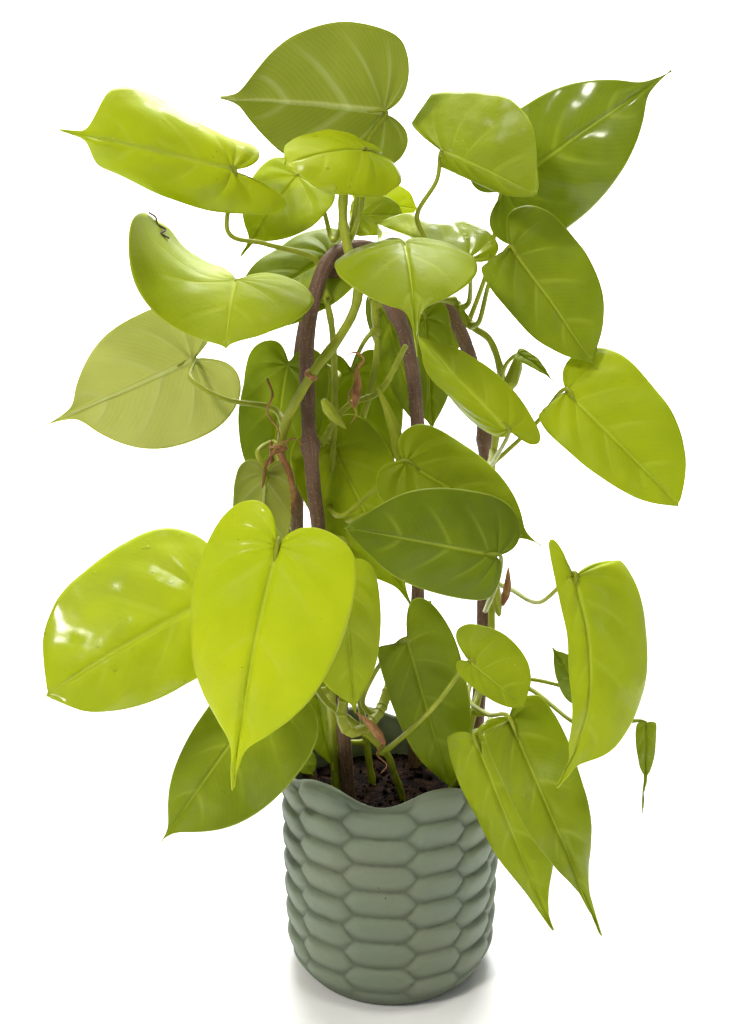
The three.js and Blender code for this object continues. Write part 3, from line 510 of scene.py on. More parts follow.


# ---- leaves ----------------------------------------------------------------------------------------
# look is the tone and the shine: the tone is partly the leaf's own green and partly painted light and shade,
# lower for leaves lying in shade
# base and tip are where the stalk meets the blade and where the blade ends; face is the way its upper
# side looks. Left and right are as seen from the base with the upper side up. width, lobe and drip are
# shares of the length; bend, curl, fold, twist and sweep are in degrees.
# what a leaf has unless its own line says otherwise
USUAL_LEAF = dict(lobe=(0.15, 0.15), drip=0.1, bend=15, curl=(20, 20), fold=6)
LEAVES = {
    "front_heart": dict(
        base=(-56, -98, 286), tip=(-79, -108, 164), face=(-0.2, -1, 0.3), width=(0.66, 0.57),
        lobe=(0.1, 0.15), drip=0.2, bend=38, curl=(30, 30), fold=10, blunt=-0.1,
        stalk=[(-51, -6, 243), (-53, -42, 262), (-56, -82, 282)], look=(1, 0.25)),
    "left_wide": dict(
        base=(-95, -60, 246), tip=(-173, -90, 206), face=(-0.1, -0.85, 0.5), width=(0.72, 1.08),
        lobe=(0.2, 0.2), drip=0.03, bend=25, curl=(35, 12), fold=0, blunt=0.45,
        stalk=[(-47, -10, 234), (-67, -38, 233)], look=(0.74, 1)),
    "lower_left": dict(
        base=(-69, -50, 187), tip=(-124, -62, 110), face=(-0.2, -0.93, 0.2), width=(0.8, 0.46),
        curl=(15, 20), fold=4,
        stalk=[(-34, -15, 178)], look=(0.16, 0.3)),
    "left_pale": dict(
        base=(-107, 0, 361), tip=(-182, -25, 330), face=(0.1, 1, -0.2), width=(0.78, 0.98),
        lobe=(0.2, 0.22), drip=0.2, bend=10, curl=(20, 15), fold=-6,
        stalk=[(-65, -5, 336), (-87, -25, 344), (-104, -28, 355)], look=(1, 0)),
    "left_fold": dict(
        base=(-79, -30, 405), tip=(-81, -66, 376), face=(-0.1, -0.8, 0.6), width=(1.7, 2.7),
        lobe=(0.25, 0.6), drip=0.06, bend=40, curl=(25, -85), fold=0,
        stalk=[(-44, 0, 393), (-67, -22, 399)], look=(0.46, 0.1)),
    "left_saddle": dict(
        base=(-81, -20, 459), tip=(-159, -50, 477), face=(-0.05, -0.97, 0.25), width=(0.52, 0.92),
        lobe=(0.4, 0.2), drip=0.15, curl=(20, 110), fold=0, curl_tip=(135, 5), blunt=0.9,
        stalk=[(-41, 10, 413), (-66, -5, 422), (-84, -18, 429)], look=(0.78, 0.45)),
    "yellow_back": dict(
        base=(-51, 30, 456), tip=(-80, 5, 415), face=(-0.2, -0.95, 0.2), width=(0.9, 0.7),
        lobe=(0.12, 0.12), drip=0.2, bend=20, curl=(10, 10), fold=4,
        stalk=[(-32, 20, 423), (-39, 28, 444)], look=(0.6, 0.1)),
    "top_round": dict(
        base=(-5, -10, 487), tip=(-85, -25, 493), face=(0.05, 0.9, 0.4), width=(0.98, 0.94),
        lobe=(0.12, 0.18), drip=0.12, bend=18, curl=(20, 15), fold=20, blunt=-0.05,
        stalk=[(-22, 10, 426), (-14, -5, 469)], look=(0.14, 0)),
    "top_small": dict(
        base=(-14, -40, 468), tip=(-51, -70, 461), face=(-0.1, -0.75, 0.65), width=(1.05, 0.75),
        lobe=(0.42, 0.42), drip=0.03, bend=30, curl=(50, 10), fold=0, blunt=0.6,
        stalk=[(-22, 0, 424), (-16, -25, 442)], look=(0.75, 1)),
    "upper_mid": dict(
        base=(25, -15, 468), tip=(70, -35, 447), face=(0, -1, 0.25), width=(1.5, 0.5),
        lobe=(0.6, 0), drip=0.03, bend=20, curl=(15, 120), fold=-4, blunt=-0.15,
        stalk=[(15, -20, 419), (12, -20, 437), (22, -14, 454)], look=(0.36, 0.3)),
    "upper_right": dict(
        base=(61, 30, 449), tip=(143, 10, 509), face=(0.1, -0.9, 0.4), width=(0.6, 0.7),
        lobe=(0.13, 0.17), drip=0.16, bend=12, curl=(10, 20),
        stalk=[(44, 40, 378), (54, 35, 410)], look=(0.1, 0.9)),
    "right_upper": dict(
        base=(61, -10, 420), tip=(103, -25, 363), face=(0.05, -0.93, 0.35), width=(0.84, 0.58),
        lobe=(0.22, 0.02), drip=0.04, bend=12, curl=(12, 18), blunt=0.15,
        stalk=[(48, 20, 380), (52, 5, 403)], look=(0.14, 0.35)),
    "right_low": dict(
        base=(90, -25, 348), tip=(146, -50, 293), face=(0.15, -0.95, 0.3), width=(0.84, 0.54),
        lobe=(0.14, 0.01), drip=0.03, curl=(12, 20), fold=8, blunt=0.1,
        stalk=[(56, 20, 299), (77, -5, 327)], look=(0.56, 0.3)),
    "mid_right": dict(
        base=(56, -60, 335), tip=(9, -78, 385), face=(-0.25, -0.92, -0.05), width=(0.95, 0.52),
        lobe=(0.1, 0.3), bend=8, curl=(25, 15), fold=-42, blunt=-0.25,
        stalk=[(55, 10, 301), (56, -30, 318)], look=(0.5, 0.15)),
    "center_top": dict(
        base=(5, -50, 424), tip=(10, -105, 377), face=(0, -0.6, 0.8), width=(0.92, 0.92),
        lobe=(0.25, 0.25), drip=0.3, bend=60, curl=(25, 20), fold=0,
        stalk=[(-17, 0, 416), (-2, -30, 425)], look=(0.34, 0.4)),
    "center_fold": dict(
        base=(7, -36, 313), tip=(77, -46, 271), face=(0.05, -0.93, 0.35), width=(0.62, 0.62),
        lobe=(0.12, 0.12), drip=0.14, bend=10, curl=(15, 15), fold=-5,
        stalk=[(-27, -20, 280), (-9, -28, 297)], look=(0.26, 0.25)),
    "mid_big": dict(
        base=(53, -62, 270), tip=(-24, -84, 291), face=(-0.05, -0.97, 0.3), width=(0.6, 0.74),
        lobe=(0.06, 0.14), drip=0.04, bend=12, curl=(15, 15), fold=-4, blunt=-0.1,
        stalk=[(54, 10, 216), (56, -30, 245)], look=(0.0, 0.15)),
    "low_round": dict(
        base=(8, -40, 216), tip=(32, -36, 129), face=(-0.1, -0.95, 0.2), width=(0.56, 0.4),
        lobe=(0.24, 0), drip=0.03, bend=12, curl=(10, 20),
        stalk=[(-16, -32, 179), (-4, -38, 206)], look=(0.14, 0.1)),
    "low_small": dict(
        base=(39, -76, 218), tip=(66, -84, 197), face=(0.2, -0.95, 0.2), width=(1.25, 0.5),
        lobe=(0.45, 0.15), drip=0.04, bend=20, curl=(10, 10), fold=4, blunt=0.3,
        stalk=[(-3, -34, 150), (20, -62, 186)], look=(0.28, 0)),
    "low_right_a": dict(
        base=(43, -64, 171), tip=(87, -72, 62), face=(-0.4, -0.85, 0.2), width=(0.44, 0.34),
        lobe=(0.06, 0.04), drip=0.12, curl=(20, 15), fold=-8, blunt=-0.25,
        stalk=[(58, 8, 152), (50, -32, 162)], look=(0.38, 0.5)),
    "low_right_b": dict(
        base=(60, -75, 186), tip=(110, -88, 69), face=(0.2, -0.95, 0.2), width=(0.37, 0.26),
        lobe=(0.06, 0), drip=0.2, bend=12, curl=(15, 15), fold=4, blunt=-0.2,
        stalk=[(53, 26, 180), (44, -4, 169), (52, -42, 175)], look=(0.26, 0.5)),
    "right_front": dict(
        base=(90, -75, 263), tip=(82, -95, 159), face=(0.25, -0.93, 0.2), width=(0.76, 0.2),
        lobe=(0.04, 0.2), drip=0.14, bend=35, curl=(40, 40), fold=0, sweep=-45, blunt=0.3,
        stalk=[(70, 20, 225), (78, -40, 238)], look=(0.58, 0.5)),
    "heart_mate": dict(
        base=(-25, -60, 258), tip=(-20, -55, 182), face=(0.1, -0.95, 0.2), width=(0.46, 0.66),
        lobe=(0.12, 0.12), drip=0.08, bend=10,
        stalk=[(-25, -20, 266)], look=(0.6, 0.1)),
    "pot_left": dict(
        base=(-43, -4, 173), tip=(-33, -12, 127), face=(-0.3, -0.9, 0.2), width=(0.5, 0.5),
        lobe=(0.2, 0.2), bend=5, fold=20,
        stalk=[(-32, 0, 178)], look=(0.3, 0.1)),
    "back_left": dict(
        base=(-34, 25, 414), tip=(-92, 10, 371), face=(-0.3, -0.7, 0.6), width=(0.75, 0.75),
        lobe=(0.2, 0.2), bend=25, fold=5,
        stalk=[(-28, 20, 396)], look=(0.2, 0.1)),
    "left_dark": dict(
        base=(-58, 34, 353), tip=(-71, 30, 273), face=(-0.4, -0.8, 0.2), width=(0.7, 0.7),
        fold=8,
        stalk=[(-30, 20, 351), (-45, 30, 357)], look=(0.1, 0.1)),
    "left_pale_low": dict(
        base=(-68, -15, 302), tip=(-70, -30, 244), face=(-0.4, 0.8, 0.2), width=(0.6, 0.6),
        lobe=(0.12, 0.12), fold=8,
        stalk=[(-65, 0, 316), (-72, -12, 313)], look=(0.5, 0)),
    "center_low": dict(
        base=(-32, 10, 310), tip=(12, 0, 221), face=(0, -0.9, 0.3), width=(0.55, 0.55),
        drip=0.16,
        stalk=[(-33, 8, 316)], look=(0.35, 0.1)),
    "back_center_a": dict(
        base=(-22, 42, 348), tip=(-14, 46, 269), face=(0, -0.95, 0.2), width=(0.68, 0.68),
        stalk=[(-10, 12, 375), (-16, 26, 366)], look=(0.15, 0.1)),
    "back_center_b": dict(
        base=(-4, 26, 384), tip=(19, 32, 313), face=(-0.3, -0.9, 0.3), width=(0.4, 0.4),
        fold=-20,
        stalk=[(-10, 12, 392)], look=(0.1, 0.1)),
    "back_center_c": dict(
        base=(19, 36, 379), tip=(24, 40, 312), face=(0.2, -0.95, 0.2), width=(0.45, 0.45),
        bend=10,
        stalk=[(10, 20, 391)], look=(0.15, 0.1)),
    "arch_behind": dict(
        base=(30, 66, 380), tip=(26, 70, 342), face=(0.3, -0.9, 0.2), width=(0.8, 0.8),
        lobe=(0.2, 0.2),
        stalk=[(15, 20, 391)], look=(0.15, 0.1)),
    "back_top": dict(
        base=(39, -2, 413), tip=(-9, 28, 431), face=(0.1, -0.65, 0.75), width=(0.95, 0.95),
        drip=0.06, bend=20,
        stalk=[(43, 30, 390)], look=(0.45, 1)),
    "back_green": dict(
        base=(-19, 45, 435), tip=(8, 40, 435), face=(0.1, -0.95, 0.3), width=(0.85, 0.85),
        drip=0.08, bend=20, blunt=0.5,
        stalk=[(-23, 30, 417)], look=(0.4, 0.1)),
    "back_pale": dict(
        base=(-18, 72, 441), tip=(16, 70, 438), face=(0.1, -0.95, 0.3), width=(0.85, 0.85),
        drip=0.06, bend=20, blunt=0.5,
        stalk=[(-23, 40, 422)], look=(0.95, 0.1)),
    "bud_leaf": dict(
        base=(68, 8, 363), tip=(87, 4, 349), face=(0.2, -0.6, 0.8), width=(0.4, 0.4),
        lobe=(0.05, 0.05), drip=0.2, bend=30, fold=20,
        stalk=[(60, 20, 345), (62, 10, 357)], look=(0.2, 0.1)),
    "hanging_tip": dict(
        base=(133, -62, 178), tip=(133, -66, 129), face=(0.2, -0.95, 0.1), width=(0.24, 0.24),
        lobe=(0.03, 0.03), drip=0.42, bend=12, curl=(40, 40), fold=20,
        stalk=[(80, 14, 167), (105, -26, 161), (124, -56, 177)], look=(0.2, 0.2)),
    "rim_left": dict(
        base=(-50, -12, 135), tip=(-44, -22, 129), face=(-0.3, -0.6, 0.7), width=(0.95, 0.95),
        bend=10, fold=5,
        stalk=[(-34, 12, 134), (-43, 4, 139)], look=(0.2, 0.1)),
    "dark_curl": dict(
        base=(105, -10, 176), tip=(89, -15, 203), face=(0.2, -0.9, 0.3), width=(0.6, 0.6),
        lobe=(0.2, 0.2), bend=20, curl=(40, 40), fold=30,
        stalk=[(79, 0, 178)], look=(0.0, 0.2)),
}
LOBE_OUTLINE = ((0, 0), (-0.5, 0.09), (-0.88, 0.24), (-1, 0.45), (-0.8, 0.7), (-0.28, 0.9))
BODY_OUTLINE = ((0.1, 1), (0.3, 1), (0.5, 0.93), (0.66, 0.8), (0.79, 0.61), (0.9, 0.38), (1, 0.12))
RIB_SLANT = 0.7                   # how far the side veins run forward for each step outward
NOTCH_SOFTNESS = 0.05
STALK_REACH = 60                  # how far a stalk may run on to the vine it grows from
THIN_ROOT = 1.2                   # vines thinner than this are roots and carry no leaves
BLADE_THICKNESS = 0.55
BLADE_ROWS = 84
BLADE_COLUMNS = 48
QUILTING = 0.0105                 # how far the blade swells between side veins, in blade lengths
RIB_BOW = 0.07                    # how far a side vein bends toward the tip on its way out
RIBS = 6                          # side veins on each side of the midrib


def half_outline(leaf, side, count=200):
    """The margin of one half: how far along and how far out, at even steps from the notch to the tip."""
    half = leaf["width"][side] / 2
    lobe = leaf["lobe"][side]
    body = 1 - leaf["drip"]
    fullness = 1 / (1 + leaf.get("blunt", 0))
    points = [(along * lobe, out * half) for along, out in LOBE_OUTLINE]
    points += [(along * body, out ** (fullness if along < 0.99 else 1) * half) for along, out in BODY_OUTLINE]
    points += [(body + leaf["drip"] / 2, 0.035 * half), (1, 0)]
    return catmull(points, count)


def rib_start(edge):
    """Where the side vein that ends at each margin point leaves the midrib."""
    start = edge[:, 0] - RIB_SLANT * edge[:, 1]
    root = np.sqrt(start ** 2 + NOTCH_SOFTNESS ** 2)
    start = (start + root - NOTCH_SOFTNESS * np.exp(-8 * np.maximum(start, 0))) / 2
    ahead = np.clip(edge[:, 0], 0, None)
    start = np.clip(start, 0, None) * (1 - ahead ** 6) + ahead ** 7
    start[0] = 0
    return start


def blade_points(leaf, row, across):
    """Points of the blade in units of its length: x to the tip, y to the left, z up from the upper side."""
    edges = [half_outline(leaf, side) for side in (0, 1)]
    start = (rib_start(edges[0]) + rib_start(edges[1])) / 2
    steps = np.linspace(0, 1, len(start))
    right = across > 0
    reach = np.abs(across)

    def pick(first, second):
        return np.where(right, second, first)

    edge_along = pick(*(np.interp(row, steps, edge[:, 0]) for edge in edges))
    edge_out = pick(*(np.interp(row, steps, edge[:, 1]) for edge in edges))
    rib = np.interp(row, steps, start)
    along = rib + reach * (edge_along - rib)
    out = reach * edge_out
    half = pick(leaf["width"][0], leaf["width"][1]) / 2
    curl = pick(*leaf["curl"])
    curl = curl + (pick(*leaf.get("curl_tip", leaf["curl"])) - curl) * np.clip(along, 0, 1)
    curl = np.radians(curl) + 1e-6
    out_bent = np.sin(curl * out / half) * half / curl
    drop = -(1 - np.cos(curl * out / half)) * half / curl
    fold = np.radians(leaf["fold"])
    side = out_bent * math.cos(fold) - drop * math.sin(fold)
    lift = out_bent * math.sin(fold) + drop * math.cos(fold)
    side = np.where(right, -side, side)

    # quilting between the side veins, the sunk midrib, a wavy margin and slow unevenness
    wave = leaf.get("wave", 0.012)
    seed = leaf["seed"]
    between = 0.5 - 0.5 * np.cos(TURN * ((row - RIB_BOW * reach ** 2) * RIBS + 0.25))
    plump = np.sin(np.pi * np.clip(reach, 0, 1) ** 0.8) ** 0.7
    lift = lift + QUILTING * between * plump * smoothstep(0.02, 0.15, row) * smoothstep(1, 0.85, row)
    lift = lift - 0.012 * np.exp(-(out / 0.014) ** 2) * smoothstep(0.99, 0.8, row)
    phase = seed * 1.7 + right * 2.1
    ripple = np.sin(along * 9 + phase) + 0.6 * np.sin(along * 17 + 2.3 * phase)
    lift = lift + wave * reach ** 3 * ripple * smoothstep(0, 0.15, row)
    grid = np.stack([along, np.where(right, -out, out), np.zeros_like(out)], axis=1)
    lift = lift + 0.02 * noise_at(grid, 0.3, seed) + 0.004 * noise_at(grid, 0.09, seed + 50)

    # the midrib's own curve
    bend, sweep = math.radians(leaf["bend"]), math.radians(leaf.get("sweep", 0))
    reach_of = np.linspace(-0.5, 1, 301)
    droop = bend * reach_of
    swing = sweep * np.clip(reach_of, 0, None) ** 1.5
    ahead = np.stack([np.cos(droop) * np.cos(swing), np.sin(swing) * np.cos(droop), -np.sin(droop)], axis=1)
    middle = (ahead[1:] + ahead[:-1]) / 2 * (reach_of[1] - reach_of[0])
    spine = np.concatenate([np.zeros((1, 3)), np.cumsum(middle, axis=0)])
    spine -= [np.interp(0, reach_of, spine[:, axis]) for axis in range(3)]
    held = np.clip(along, -0.5, 1)
    place = np.stack([np.interp(held, reach_of, spine[:, axis]) for axis in range(3)], axis=1)
    droop = bend * held
    swing = sweep * np.clip(held, 0, None) ** 1.5
    forward = np.stack([np.cos(droop) * np.cos(swing), np.cos(droop) * np.sin(swing), -np.sin(droop)], axis=1)
    left = np.stack([-np.sin(swing), np.cos(swing), np.zeros_like(swing)], axis=1)
    up = np.cross(forward, left)
    twist = (math.radians(leaf.get("twist", 0)) * np.clip(held, -0.3, 1))[:, None]
    left, up = left * np.cos(twist) + up * np.sin(twist), up * np.cos(twist) - left * np.sin(twist)
    return place + left * side[:, None] + up * lift[:, None], spine[-1]


def set_blade(leaf, points, tip):
    """Scales the blade so that it runs from base to tip, and rolls it to look along its face."""
    ahead = unit(tip)
    up = unit(np.array((0, 0, 1)) - ahead * ahead[2])
    left = np.cross(up, ahead)
    base, end = np.array(leaf["base"], float), np.array(leaf["tip"], float)
    way = unit(end - base)
    face = np.array(leaf["face"], float)
    face = unit(face - way * (face @ way))
    size = np.linalg.norm(end - base) / np.linalg.norm(tip)
    local = points @ np.stack([ahead, left, up], axis=1)
    return base + size * (local @ np.stack([way, np.cross(face, way), face])), size


THREAD_ON = "leaf_left_fold"      # a stray dark thread lies on this blade
THREAD = ((-122, -27, 438.4), (-120, -20, 436), (-119.5, -18, 432.6), (-116, -15, 429.6), (-117.5, -21, 428),
          (-114, -18, 425.6))


def nearest_joint(start):
    """The place on a vine that a leaf stalk grows from: close by, and rather below its start than above."""
    best, best_cost = start, STALK_REACH
    for radius, _, route in VINES.values():
        if radius < THIN_ROOT:
            continue
        for place in catmull(route, 160):
            gap = np.linalg.norm(place - start)
            cost = gap + 0.35 * max(0, place[2] - start[2])
            if cost < best_cost:
                best, best_cost = place, cost
    return best


def make_leaf(name, leaf, skins, stalk_skin, thread_skin):
    leaf["seed"] = leaf.get("seed", Random(name).random() * 40)
    blade, row, across = sheet(name, BLADE_ROWS, BLADE_COLUMNS)
    across = np.sign(across) * np.abs(across) ** 1.15
    row = row + 0.06 * np.sin(TURN * row) / TURN
    local, tip = blade_points(leaf, row, across)
    points, size = set_blade(leaf, local, tip)
    write_points(blade, points * MM)
    mark_flat(blade, "ribs", row, across)
    look = leaf.get("look", (0.5, 0.5))
    # the tone carries painted light and shade as well as the leaf's own green
    mark(blade, "tone", np.full(len(row), look[0]))
    mark(blade, "shine", np.full(len(row), look[1]))
    close_up(blade)
    give(blade, *skins)
    blade.vertex_groups.clear()
    apply_modifier(blade, "thickness", "SOLIDIFY", thickness=BLADE_THICKNESS * MM, offset=-1.0,
                   material_offset=1, material_offset_rim=0, use_even_offset=False)
    stalk = make_stalk(name + " stalk", leaf, size, stalk_skin)
    extras = [stalk]
    if name == THREAD_ON:
        thread = tube("thread", THREAD, 0.5, 60, 10)
        give(thread, thread_skin)
        extras.append(thread)
    join(blade, extras)
    stand_in_for(blade, name)


def make_stalk(name, leaf, size, skin):
    start = np.array(leaf["base"], float)
    along_blade = unit(np.array(leaf["tip"], float) - start)
    face = unit(np.array(leaf["face"], float))
    route = [np.array(place, float) for place in leaf["stalk"]]
    joint = nearest_joint(route[0])
    if np.linalg.norm(joint - route[0]) > 2:
        route = [joint, *route]
    route += [start - 0.02 * size * along_blade - 0.9 * face, start + 0.1 * size * along_blade - 1.1 * face]

    def radius(along):
        foot = 1.1 * np.exp(-(along / 0.05) ** 2)
        return 1.15 + 0.5 * (1 - along) ** 2 + foot - 0.7 * smoothstep(0.9, 1, along)

    stalk = tube(name, route, radius, 64, 14)
    give(stalk, skin)
    mark(stalk, "tone", np.full(len(stalk.data.vertices), leaf.get("look", (0.5, 0.5))[0]))
    return stalk


# ---- twigs, vines and soil -------------------------------------------------------------------------
TWIG_RADIUS = 4.2
STUB_RADIUS = 2.6                 # of the cut side shoot on the front hoop
STUB = ((-31, -12, 190), (-27, -14, 197), (-24, -16, 205))
TWIG_DEPTH = 55                   # how deep a hoop's legs go into the soil
ROOTED_DEPTH = 14
ROOT_LEAN = 0.8                   # how much nearer the middle a rod is at its buried end
CRUMBS = 420
SOIL_TOP = 105
SOIL_CROWN = 3


def straight_down(place, depth):
    """A point under a rod's foot, a little nearer the pot's middle."""
    return (place[0] * ROOT_LEAN, place[1] * ROOT_LEAN, place[2] - depth)


def make_hoop(name, route, knots, bark):
    """A bent twig with lengthwise ridges, cross cracks and swollen knots."""
    seed = Random(name).random() * 30
    route = [straight_down(route[0], TWIG_DEPTH), *route, straight_down(route[-1], TWIG_DEPTH)]

    def radius(along):
        girth = TWIG_RADIUS * (1.02 - 0.12 * np.sin(np.pi * along))
        for knot, swell in knots:
            girth = girth + swell * np.exp(-((along - knot) / 0.006) ** 2)
        return girth

    def relief(along, turn, points):
        ridges = 0.1 * np.sin(7 * turn + 26 * along + 2 * np.sin(40 * along))
        flakes = 0.32 * noise_at(points, 14, seed) + 0.14 * noise_at(points, 4, seed + 3)
        wrinkles = -0.22 * smoothstep(0.4, 0.6, noise_at(points * (1, 1, 3), 3.2, seed + 9))
        return ridges + flakes + wrinkles

    piece = tube(name, route, radius, 700, 40, relief)
    if name == "hoop_front":
        shoot = tube("cut shoot", STUB, lambda along: STUB_RADIUS * (1.15 - 0.25 * along), 40, 28, relief)
        join(piece, [shoot])
    give(piece, bark)
    stand_in_for(piece, name)
    return piece


def make_vine(name, route, radius, rooted, skin, nodes=9, rings=360):
    seed = Random(name).random() * 30
    if rooted:
        route = [straight_down(route[0], ROOTED_DEPTH), *route]
    rng = Random(name)
    joints = [(k + 0.5 + 0.3 * rng.uniform(-1, 1)) / nodes for k in range(nodes)]

    def girth(along):
        size = radius * (1.04 - 0.16 * along)
        for joint in joints:
            size = size + 0.2 * radius * np.exp(-((along - joint) / 0.009) ** 2)
            size = size - 0.07 * radius * np.exp(-((along - joint) / 0.002) ** 2)
        return size

    def relief(along, turn, points):
        return 0.1 * np.sin(5 * turn + 9 * along) + 0.22 * noise_at(points, 6, seed)

    piece = tube(name, route, girth, rings, 20, relief)
    give(piece, skin)
    stand_in_for(piece, name)


def make_soil(earth):
    """A crowned, lumpy top with crumbs pressed into it, over a plain plug that fills the pot."""
    piece, along, across = sheet("soil", 90, 160)
    turn = np.pi * across
    edge = POT_RADIUS - POT_WALL - 2 - 0.3
    floor = POT_FLOOR + 0.3
    top = np.clip(along / 0.75, 0, 1)
    side = np.clip((along - 0.75) / 0.25, 0, 1)
    radius = edge * np.minimum(top, 1 - 0.12 * side)
    radius = np.where(side > 0.92, radius * (1 - side) / 0.08, radius)
    height = SOIL_TOP + SOIL_CROWN * (1 - top ** 2) - (SOIL_TOP - floor) * np.clip(side / 0.92, 0, 1)
    points = np.stack([radius * np.sin(turn), -radius * np.cos(turn), height], axis=1)
    lumps = 1.6 * noise_at(points, 9, 2) + 1.1 * noise_at(points, 3.5, 3) + 0.7 * noise_at(points, 1.6, 8)
    points[:, 2] += lumps * smoothstep(1, 0.97, top) * (side == 0)
    write_points(piece, points * MM)
    close_up(piece)
    turn_out(piece)
    give(piece, earth)
    rng = Random("crumbs")
    crumbs = []
    for number in range(CRUMBS):
        bpy.ops.object.select_all(action="DESELECT")
        bpy.ops.mesh.primitive_ico_sphere_add(subdivisions=1, radius=1)
        crumb = active_piece("crumb")
        reach = edge * 0.97 * math.sqrt(rng.random())
        angle = TURN * rng.random()
        size = rng.choice((0.6, 0.8, 1.0, 1.5)) * rng.uniform(0.6, 1.5)
        shape = np.array([rng.uniform(0.5, 1.5) for axis in range(3)]) * size
        corners = read_points(crumb)
        corners = corners * (1 + 0.35 * noise_at(corners, 0.7, number)[:, None]) * shape
        tilt = rng.uniform(0, TURN)
        turned = corners.copy()
        turned[:, 0] = corners[:, 0] * math.cos(tilt) - corners[:, 1] * math.sin(tilt)
        turned[:, 1] = corners[:, 0] * math.sin(tilt) + corners[:, 1] * math.cos(tilt)
        turned += (reach * math.cos(angle), reach * math.sin(angle),
                   SOIL_TOP + SOIL_CROWN * (1 - (reach / edge) ** 2) + rng.uniform(-0.3, 1.2))
        write_points(crumb, turned * MM)
        give(crumb, earth)
        crumbs.append(crumb)
    join(piece, crumbs)
    stand_in_for(piece, "soil")


HOOPS = {
    "hoop_front": ([
        (-24, -8, 106), (-27, -12, 146), (-32, -12, 200), (-38, -12, 253), (-43, -12, 303),
        (-45, -10, 341), (-45, -6, 372), (-41, 0, 396), (-34, 8, 412), (-23, 22, 419), (-4, 40, 415),
        (19, 52, 399), (35, 58, 379), (46, 62, 355), (54, 65, 322), (57, 66, 286), (57, 64, 230),
        (56, 46, 185), (52, 24, 147), (49, 10, 115),
    ], ((0.15, 1.2), (0.33, 1.4), (0.52, 1.0), (0.68, 1.3), (0.84, 1.0))),
    "hoop_back": ([
        (-48, 12, 112), (-51, 15, 135), (-54, 28, 160), (-56, 40, 200), (-55, 46, 260), (-54, 44, 314),
        (-52, 40, 355), (-46, 32, 384), (-36, 20, 402), (-21, 6, 408), (-8, 0, 399), (4, 2, 381),
        (11, 8, 354), (15, 18, 314), (16, 26, 265), (16, 34, 214), (16, 36, 150), (15, 36, 104),
    ], ((0.2, 1.1), (0.37, 1.2), (0.55, 1.1), (0.79, 1.2))),
}
# radius, whether it is rooted in the soil, route
VINES = {
    "vine_left": (2.6, True, [
        (-31, -6, 112), (-33, -14, 159), (-35, -16, 190), (-41, -14, 219), (-51, -4, 242), (-59, 2, 269),
        (-60, -2, 298), (-59, -8, 322), (-50, -20, 343), (-40, -28, 360), (-29, -26, 374),
        (-21, -20, 387), (-18, -16, 399), (-21, -14, 413), (-24, -8, 423), (-26, 2, 436), (-25, 8, 457),
    ]),
    "vine_center": (1.9, True, [
        (7, -12, 108), (2, -20, 128), (-4, -30, 148), (-22, -38, 169), (-38, -34, 182), (-46, -28, 204),
        (-46, -12, 230), (-41, 4, 260), (-35, 8, 282), (-32, 8, 316), (-31, 6, 349), (-32, 4, 376),
        (-35, 2, 393),
    ]),
    "vine_right": (2.2, True, [
        (40, 8, 114), (48, 14, 148), (60, 40, 184), (60, 48, 235), (59, 48, 284), (61, 42, 315),
        (63, 36, 342), (56, 34, 366), (44, 32, 376), (35, 36, 389),
    ]),
    "vine_back": (2.0, True, [
        (-11, 10, 110), (-18, 14, 159), (-27, 22, 194), (-31, 28, 241), (-28, 26, 277), (-22, 24, 307),
        (-13, 20, 336), (-8, 16, 364), (-10, 12, 392),
    ]),
    "vine_cross": (1.6, False, [
        (-38, -8, 316), (-31, 0, 328), (-22, 2, 337), (-6, -2, 345), (7, -10, 370),
    ]),
    "cut_stem": (2.9, False, [
        (-1, -14, 180), (-6, -26, 171), (-15, -47, 169), (-23, -53, 170), (-27, -54, 179),
        (-25, -52, 192),
    ]),
    "root_long": (0.9, False, [
        (22, -2, 226), (18, -6, 217), (11, -10, 210), (9, -8, 198), (3, -12, 190), (-2, -6, 173),
    ]),
    "root_short": (0.9, False, [
        (58, 22, 176), (53, 20, 163), (48, 6, 159),
    ]),
}


# ---- materials -------------------------------------------------------------------------------------
def rib_pattern(paint, row, reach, fine):
    """The side veins, and the much finer threads between them, each 0 to 1."""
    bowed = row - RIB_BOW * reach * reach
    count = bowed * RIBS + 0.25
    from_vein = (count - count.math("ROUND")).size()
    threads = bowed * (RIBS * 9) + fine * 0.9
    thread = (threads - threads.math("ROUND")).size().ramp(0.3, 0.05)
    return from_vein, thread


def lit_through(paint, face):
    """A blade lets part of the light through."""
    glow = paint.node("ShaderNodeBsdfTranslucent", None, {"Color": LEAF_GLOW}).outputs[0]
    return paint.finish(paint.node("ShaderNodeMixShader", None, [LEAF_THINNESS, face, glow]).outputs[0])


